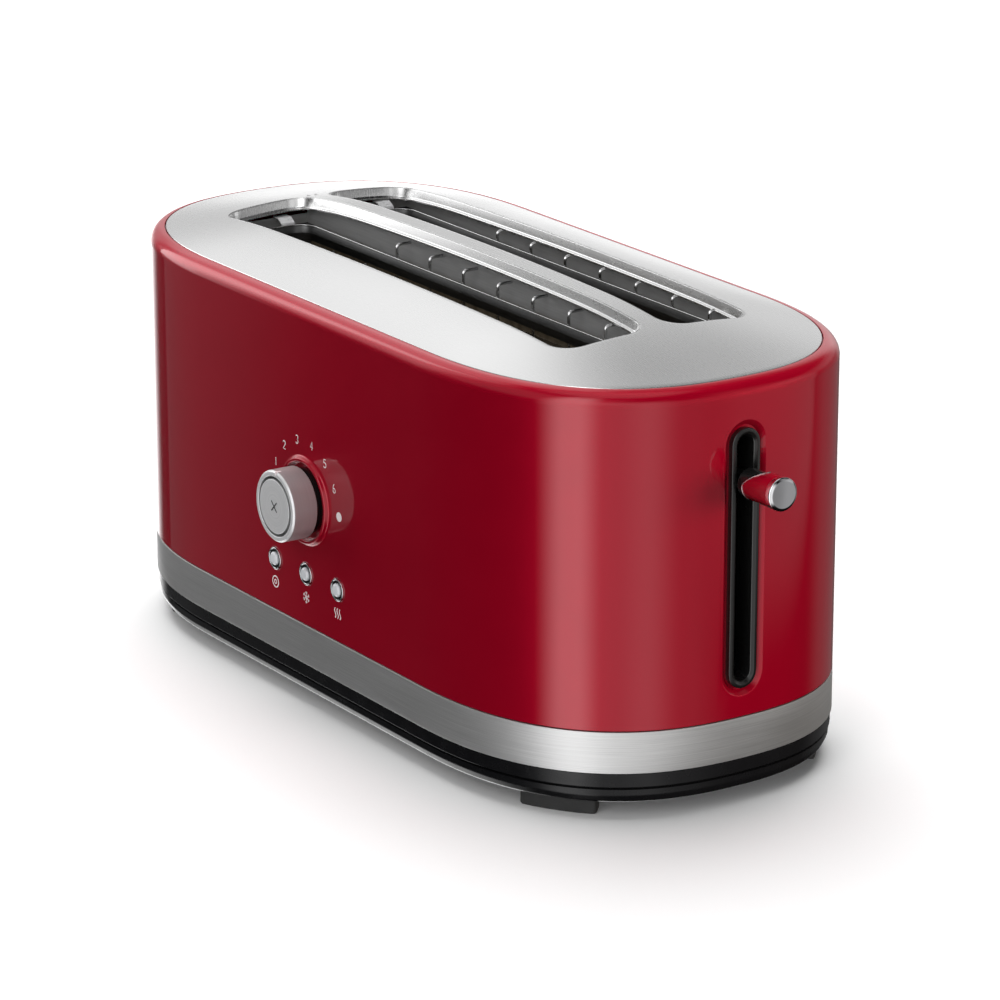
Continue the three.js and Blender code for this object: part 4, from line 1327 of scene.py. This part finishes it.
def cancel_mark():
    """A plain stop cross on the disc in the middle of the dial."""
    y = CANCEL_FRONT + 0.021
    arm = 2.2
    parts = [stroke([(-arm, DIAL_Z - arm * sign), (arm, DIAL_Z + arm * sign)], 0.6, y) for sign in (-1, 1)]
    join(parts).piece("cancel_print", "dark_print", "cancel", "dial_steel", sharp=PRINT_SHARP)


# ---- Inside the slots ----


LINER_CORNER = 9.0
GUARD_X = (-141.0, 131.0)
GUARD_SHEET = 0.7
GUARD_BOTTOM = 178.5
GUARD_WALLS = ((2.0, 191.6), (52.4, 187.9))      # distance from the body's middle, and top


def liner_line(side, inset):
    middle = side * SLOT_CENTRE_Y
    half = LINER_WIDTH / 2
    x = (LINER_X[0] + inset, LINER_X[1] - inset)
    y = (middle - half + inset, middle + half - inset)
    return rounded_rectangle(x, y, LINER_CORNER - inset, 8, (50, 6))


def liner_piece(name, side):
    profile = fillet([(0, LINER_BOTTOM), (0, LINER_FOLD), (-0.8, LINER_TOP), (0, LINER_TOP),
                      (0.8, LINER_FOLD), (0.8, LINER_BOTTOM)], [0, 0.3, 0.1, 0.1, 0.3, 0], 3, closed=True)
    bead = fillet([(-0.7, LINER_TOP + 0.05), (-0.7, LINER_TOP + 0.6), (-0.1, LINER_TOP + 0.6),
                   (-0.1, LINER_TOP + 0.05)], 0.25, 3, closed=True)
    skin, edging = (Builder().loft([[(x, y, z) for x, y in liner_line(side, inset)] for inset, z in section],
                                   closed_rows=True) for section in (profile, bead))
    middle = side * SLOT_CENTRE_Y
    for x in ((-149.7, LINER_X[0] + 0.3), (LINER_X[1] - 0.3, 139.7)):
        skin.box(x, (middle - 4, middle + 4), (LINER_BOTTOM, LINER_BOTTOM + 1.2))
    # painted shade: the skin takes the darkened copy of the sheet steel, and the bead takes the lighter
    # plated wire steel, so painted contrast adds to the real highlight on its rounded top edge
    skin.piece(f"{name}_skin", "liner", "root", "inner_sheet", [name])
    edging.piece(f"{name}_bead", "wire", "root", "inner_sheet")
    guard = Builder()
    for y, top in GUARD_WALLS:
        guard.box(GUARD_X, (side * y - 0.35, side * y + 0.35), (GUARD_BOTTOM, top))
    for x in (GUARD_X[0] - GUARD_SHEET, GUARD_X[1]):
        guard.box((x, x + GUARD_SHEET), sorted((side * 1.65, side * 52.75)), (GUARD_BOTTOM, 183.0))
    # painted light: the guard takes the lightened copy of the sheet steel
    guard.piece(f"{name}_guard", "panel", "root", "inner_sheet")


CLIP_PATH = ((-140.4, 184.0), (-136.2, 183.6), (-133.2, 181.6), (-132.4, 177.6))
CLIP_SPANS = ((-14.0, -8.5), (6.0, 13.0))
CLIP_SHEET = 0.5


def clip_piece(name, side):
    """Bright bent tabs that hold the lid's collar at the left end of a slot."""
    builder = Builder()
    path = fillet(CLIP_PATH, 1.6, 5)
    for span in CLIP_SPANS:
        rows = []
        for (x, z), along in zip(path, directions(path)):
            low, high = ((x + along.y * t, z - along.x * t) for t in (CLIP_SHEET / 2, -CLIP_SHEET / 2))
            y0, y1 = (side * SLOT_CENTRE_Y + y for y in span)
            rows.append([(low[0], y0, low[1]), (low[0], y1, low[1]),
                         (high[0], y1, high[1]), (high[0], y0, high[1])])
        builder.loft(rows, capped=True)
    builder.piece(f"{name}_clips", "clip", "root", "inner_sheet")


def wire_side(along):
    """A direction across a wire that lies in a plane of constant X, or along X."""
    return Vector((1, 0, 0)) if abs(along.x) < 0.9 else Vector((0, 0, 1))


def coil_side(along):
    """A level direction across a wire that winds round Z."""
    return along.cross(Vector((0, 0, 1))).normalized()


def wire_rows(path, radius, sides=10, side_of=wire_side):
    """Round wire along a path."""
    rows = []
    for point, along in zip(path, directions(path)):
        side = side_of(along)
        other = along.cross(side).normalized()
        row = []
        for k in range(sides):
            angle = 2 * math.pi * k / sides
            row.append(tuple(Vector(point) + (side * math.cos(angle) + other * math.sin(angle)) * radius))
        rows.append(row)
    return rows


HOOK_BEND = 1.6
RAIL_TOP = 150.7
PLAIN_WIRE_TOP = 173.8


def hooked_path(x, y, away, hook):
    top, reach = hook
    bend = HOOK_BEND
    path = [(x, y, GUIDE_BOTTOM), (x, y, 100), (x, y, top - bend)]
    for k in range(1, 6):
        angle = math.radians(90 * k / 5)
        path.append((x, y + away * bend * (1 - math.cos(angle)), top - bend + bend * math.sin(angle)))
    path.append((x, y + away * (reach - 0.1), top))
    return path


def guide_piece(node, body, slot_side, away):
    y = slot_side * SLOT_CENTRE_Y + away * GUIDE_OFFSET
    hook = OUTER_HOOK if slot_side == away else INNER_HOOK
    builder = Builder()
    ends = (WIRE_X0 - 4 * WIRE_PITCH - 6, WIRE_X0 + 4 * WIRE_PITCH + 6)
    for z in (GUIDE_BOTTOM, RAIL_TOP):
        builder.loft(wire_rows([(x, y, z) for x in ends], RAIL_RADIUS, 8), capped=True)
    for k in range(-4, 5):
        x = WIRE_X0 + k * WIRE_PITCH
        plain = [(x, y, GUIDE_BOTTOM), (x, y, PLAIN_WIRE_TOP)]
        path = hooked_path(x, y, away, hook) if k >= -2 else plain
        builder.loft(wire_rows(path, WIRE_RADIUS), capped=True)
    builder.piece(f"{node}_wires", "wire", body, "wire_steel", [node])


RIBBON_TURNS = 16
RIBBON_PITCH = 6.8
RIBBON_WIDTH = 1.4


def heater_ribbon(node, y):
    """Flat resistance ribbon wound round a board in even turns."""
    builder = Builder()
    for k in range(RIBBON_TURNS):
        z = 64 + k * RIBBON_PITCH
        builder.box((-137, 127), (y - 0.85, y + 0.85), (z, z + RIBBON_WIDTH))
    builder.piece(f"{node}_ribbon", "wire", "root", "wire_steel")


SPRING_TURNS = 9
SPRING_STEPS = 28                     # points round each turn
SPRING_RADIUS = 3.6


def spring_piece():
    low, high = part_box("lift_spring")
    cx = (low.x + high.x) / 2 / MM - CENTRE.x / MM
    cy = (low.y + high.y) / 2 / MM - CENTRE.y / MM
    radius = SPRING_RADIUS
    bottom, top = low.z / MM + 0.6, high.z / MM - 0.6
    path, count = [], SPRING_TURNS * SPRING_STEPS
    for k in range(count + 1):
        t = k / count
        angle = 2 * math.pi * SPRING_TURNS * t
        path.append((cx + radius * math.cos(angle), cy + radius * math.sin(angle), top + (bottom - top) * t))
    builder = solid(wire_rows(path, 0.5, 8, coil_side))
    data = bpy.data.meshes.new("lift_spring_coil")
    data.from_pydata([place(p) for p in builder.points], [], builder.faces)
    data.shade_smooth()
    data.materials.append(MATERIALS["wire"])
    coil = link_object("lift_spring_coil", data)
    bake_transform(coil)
    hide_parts("lift_spring")


# ---- CAD nodes that keep their own shape ----

KEPT_NODES = {
    "sheet": ("chassis_end_left", "chassis_end_right", "front_reflector", "rear_reflector", "crumb_tray",
              "carriage", "latch_armature", "lever_arm", "control_board_bracket"),
    "mica": ("front_heater", "centre_heater", "rear_heater"),
    "wire": ("front_bread_rack", "rear_bread_rack"),
    "chrome": ("guide_rod_front", "guide_rod_rear", "base_screw_1", "base_screw_2", "base_screw_3",
               "base_screw_4"),
    "gloss_black": ("cord_gland", "dial_bushing", "browning_potentiometer", "cancel_switch", "bagel_switch",
                    "defrost_switch", "warm_switch"),
    "pearl": ("terminal_block",),
    "copper": ("latch_magnet",),
    "board": ("control_board",),
}


def dress_kept_nodes():
    for key, names in KEPT_NODES.items():
        for name in names:
            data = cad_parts[name].data
            data.materials.clear()
            data.materials.append(MATERIALS[key])


# ---- The whole scene ----


FEET = (("foot_front_right", 1, -1), ("foot_rear_right", 1, 1), ("foot_front_left", -1, -1),
        ("foot_rear_left", -1, 1))
LINERS = (("front_slot_liner", -1), ("rear_slot_liner", 1))
GUIDES = (("front_guide_outer", "front_outer_guide", -1, -1),
          ("front_guide_inner", "front_inner_guide", -1, 1),
          ("rear_guide_inner", "rear_inner_guide", 1, -1),
          ("rear_guide_outer", "rear_outer_guide", 1, 1))
HEATERS = (("front_heater", -54), ("centre_heater", 0), ("rear_heater", 54))


def build():
    make_camera()
    make_world()
    make_lights(make_floor())
    make_materials()
    for make in (shell_piece, lid_piece, band_piece, tray_panel, base_piece):
        make()
    for foot in FEET:
        foot_piece(*foot)
    for make in (bezel_piece, lever_pieces, dial_pieces, button_pieces, scale_marks, button_marks,
                 cancel_mark):
        make()
    for name, side in LINERS:
        liner_piece(name, side)
        clip_piece(name, side)
    for guide in GUIDES:
        guide_piece(*guide)
    for heater in HEATERS:
        heater_ribbon(*heater)
    spring_piece()
    dress_kept_nodes()
    bpy.context.scene.view_settings.view_transform = "Standard"


build()
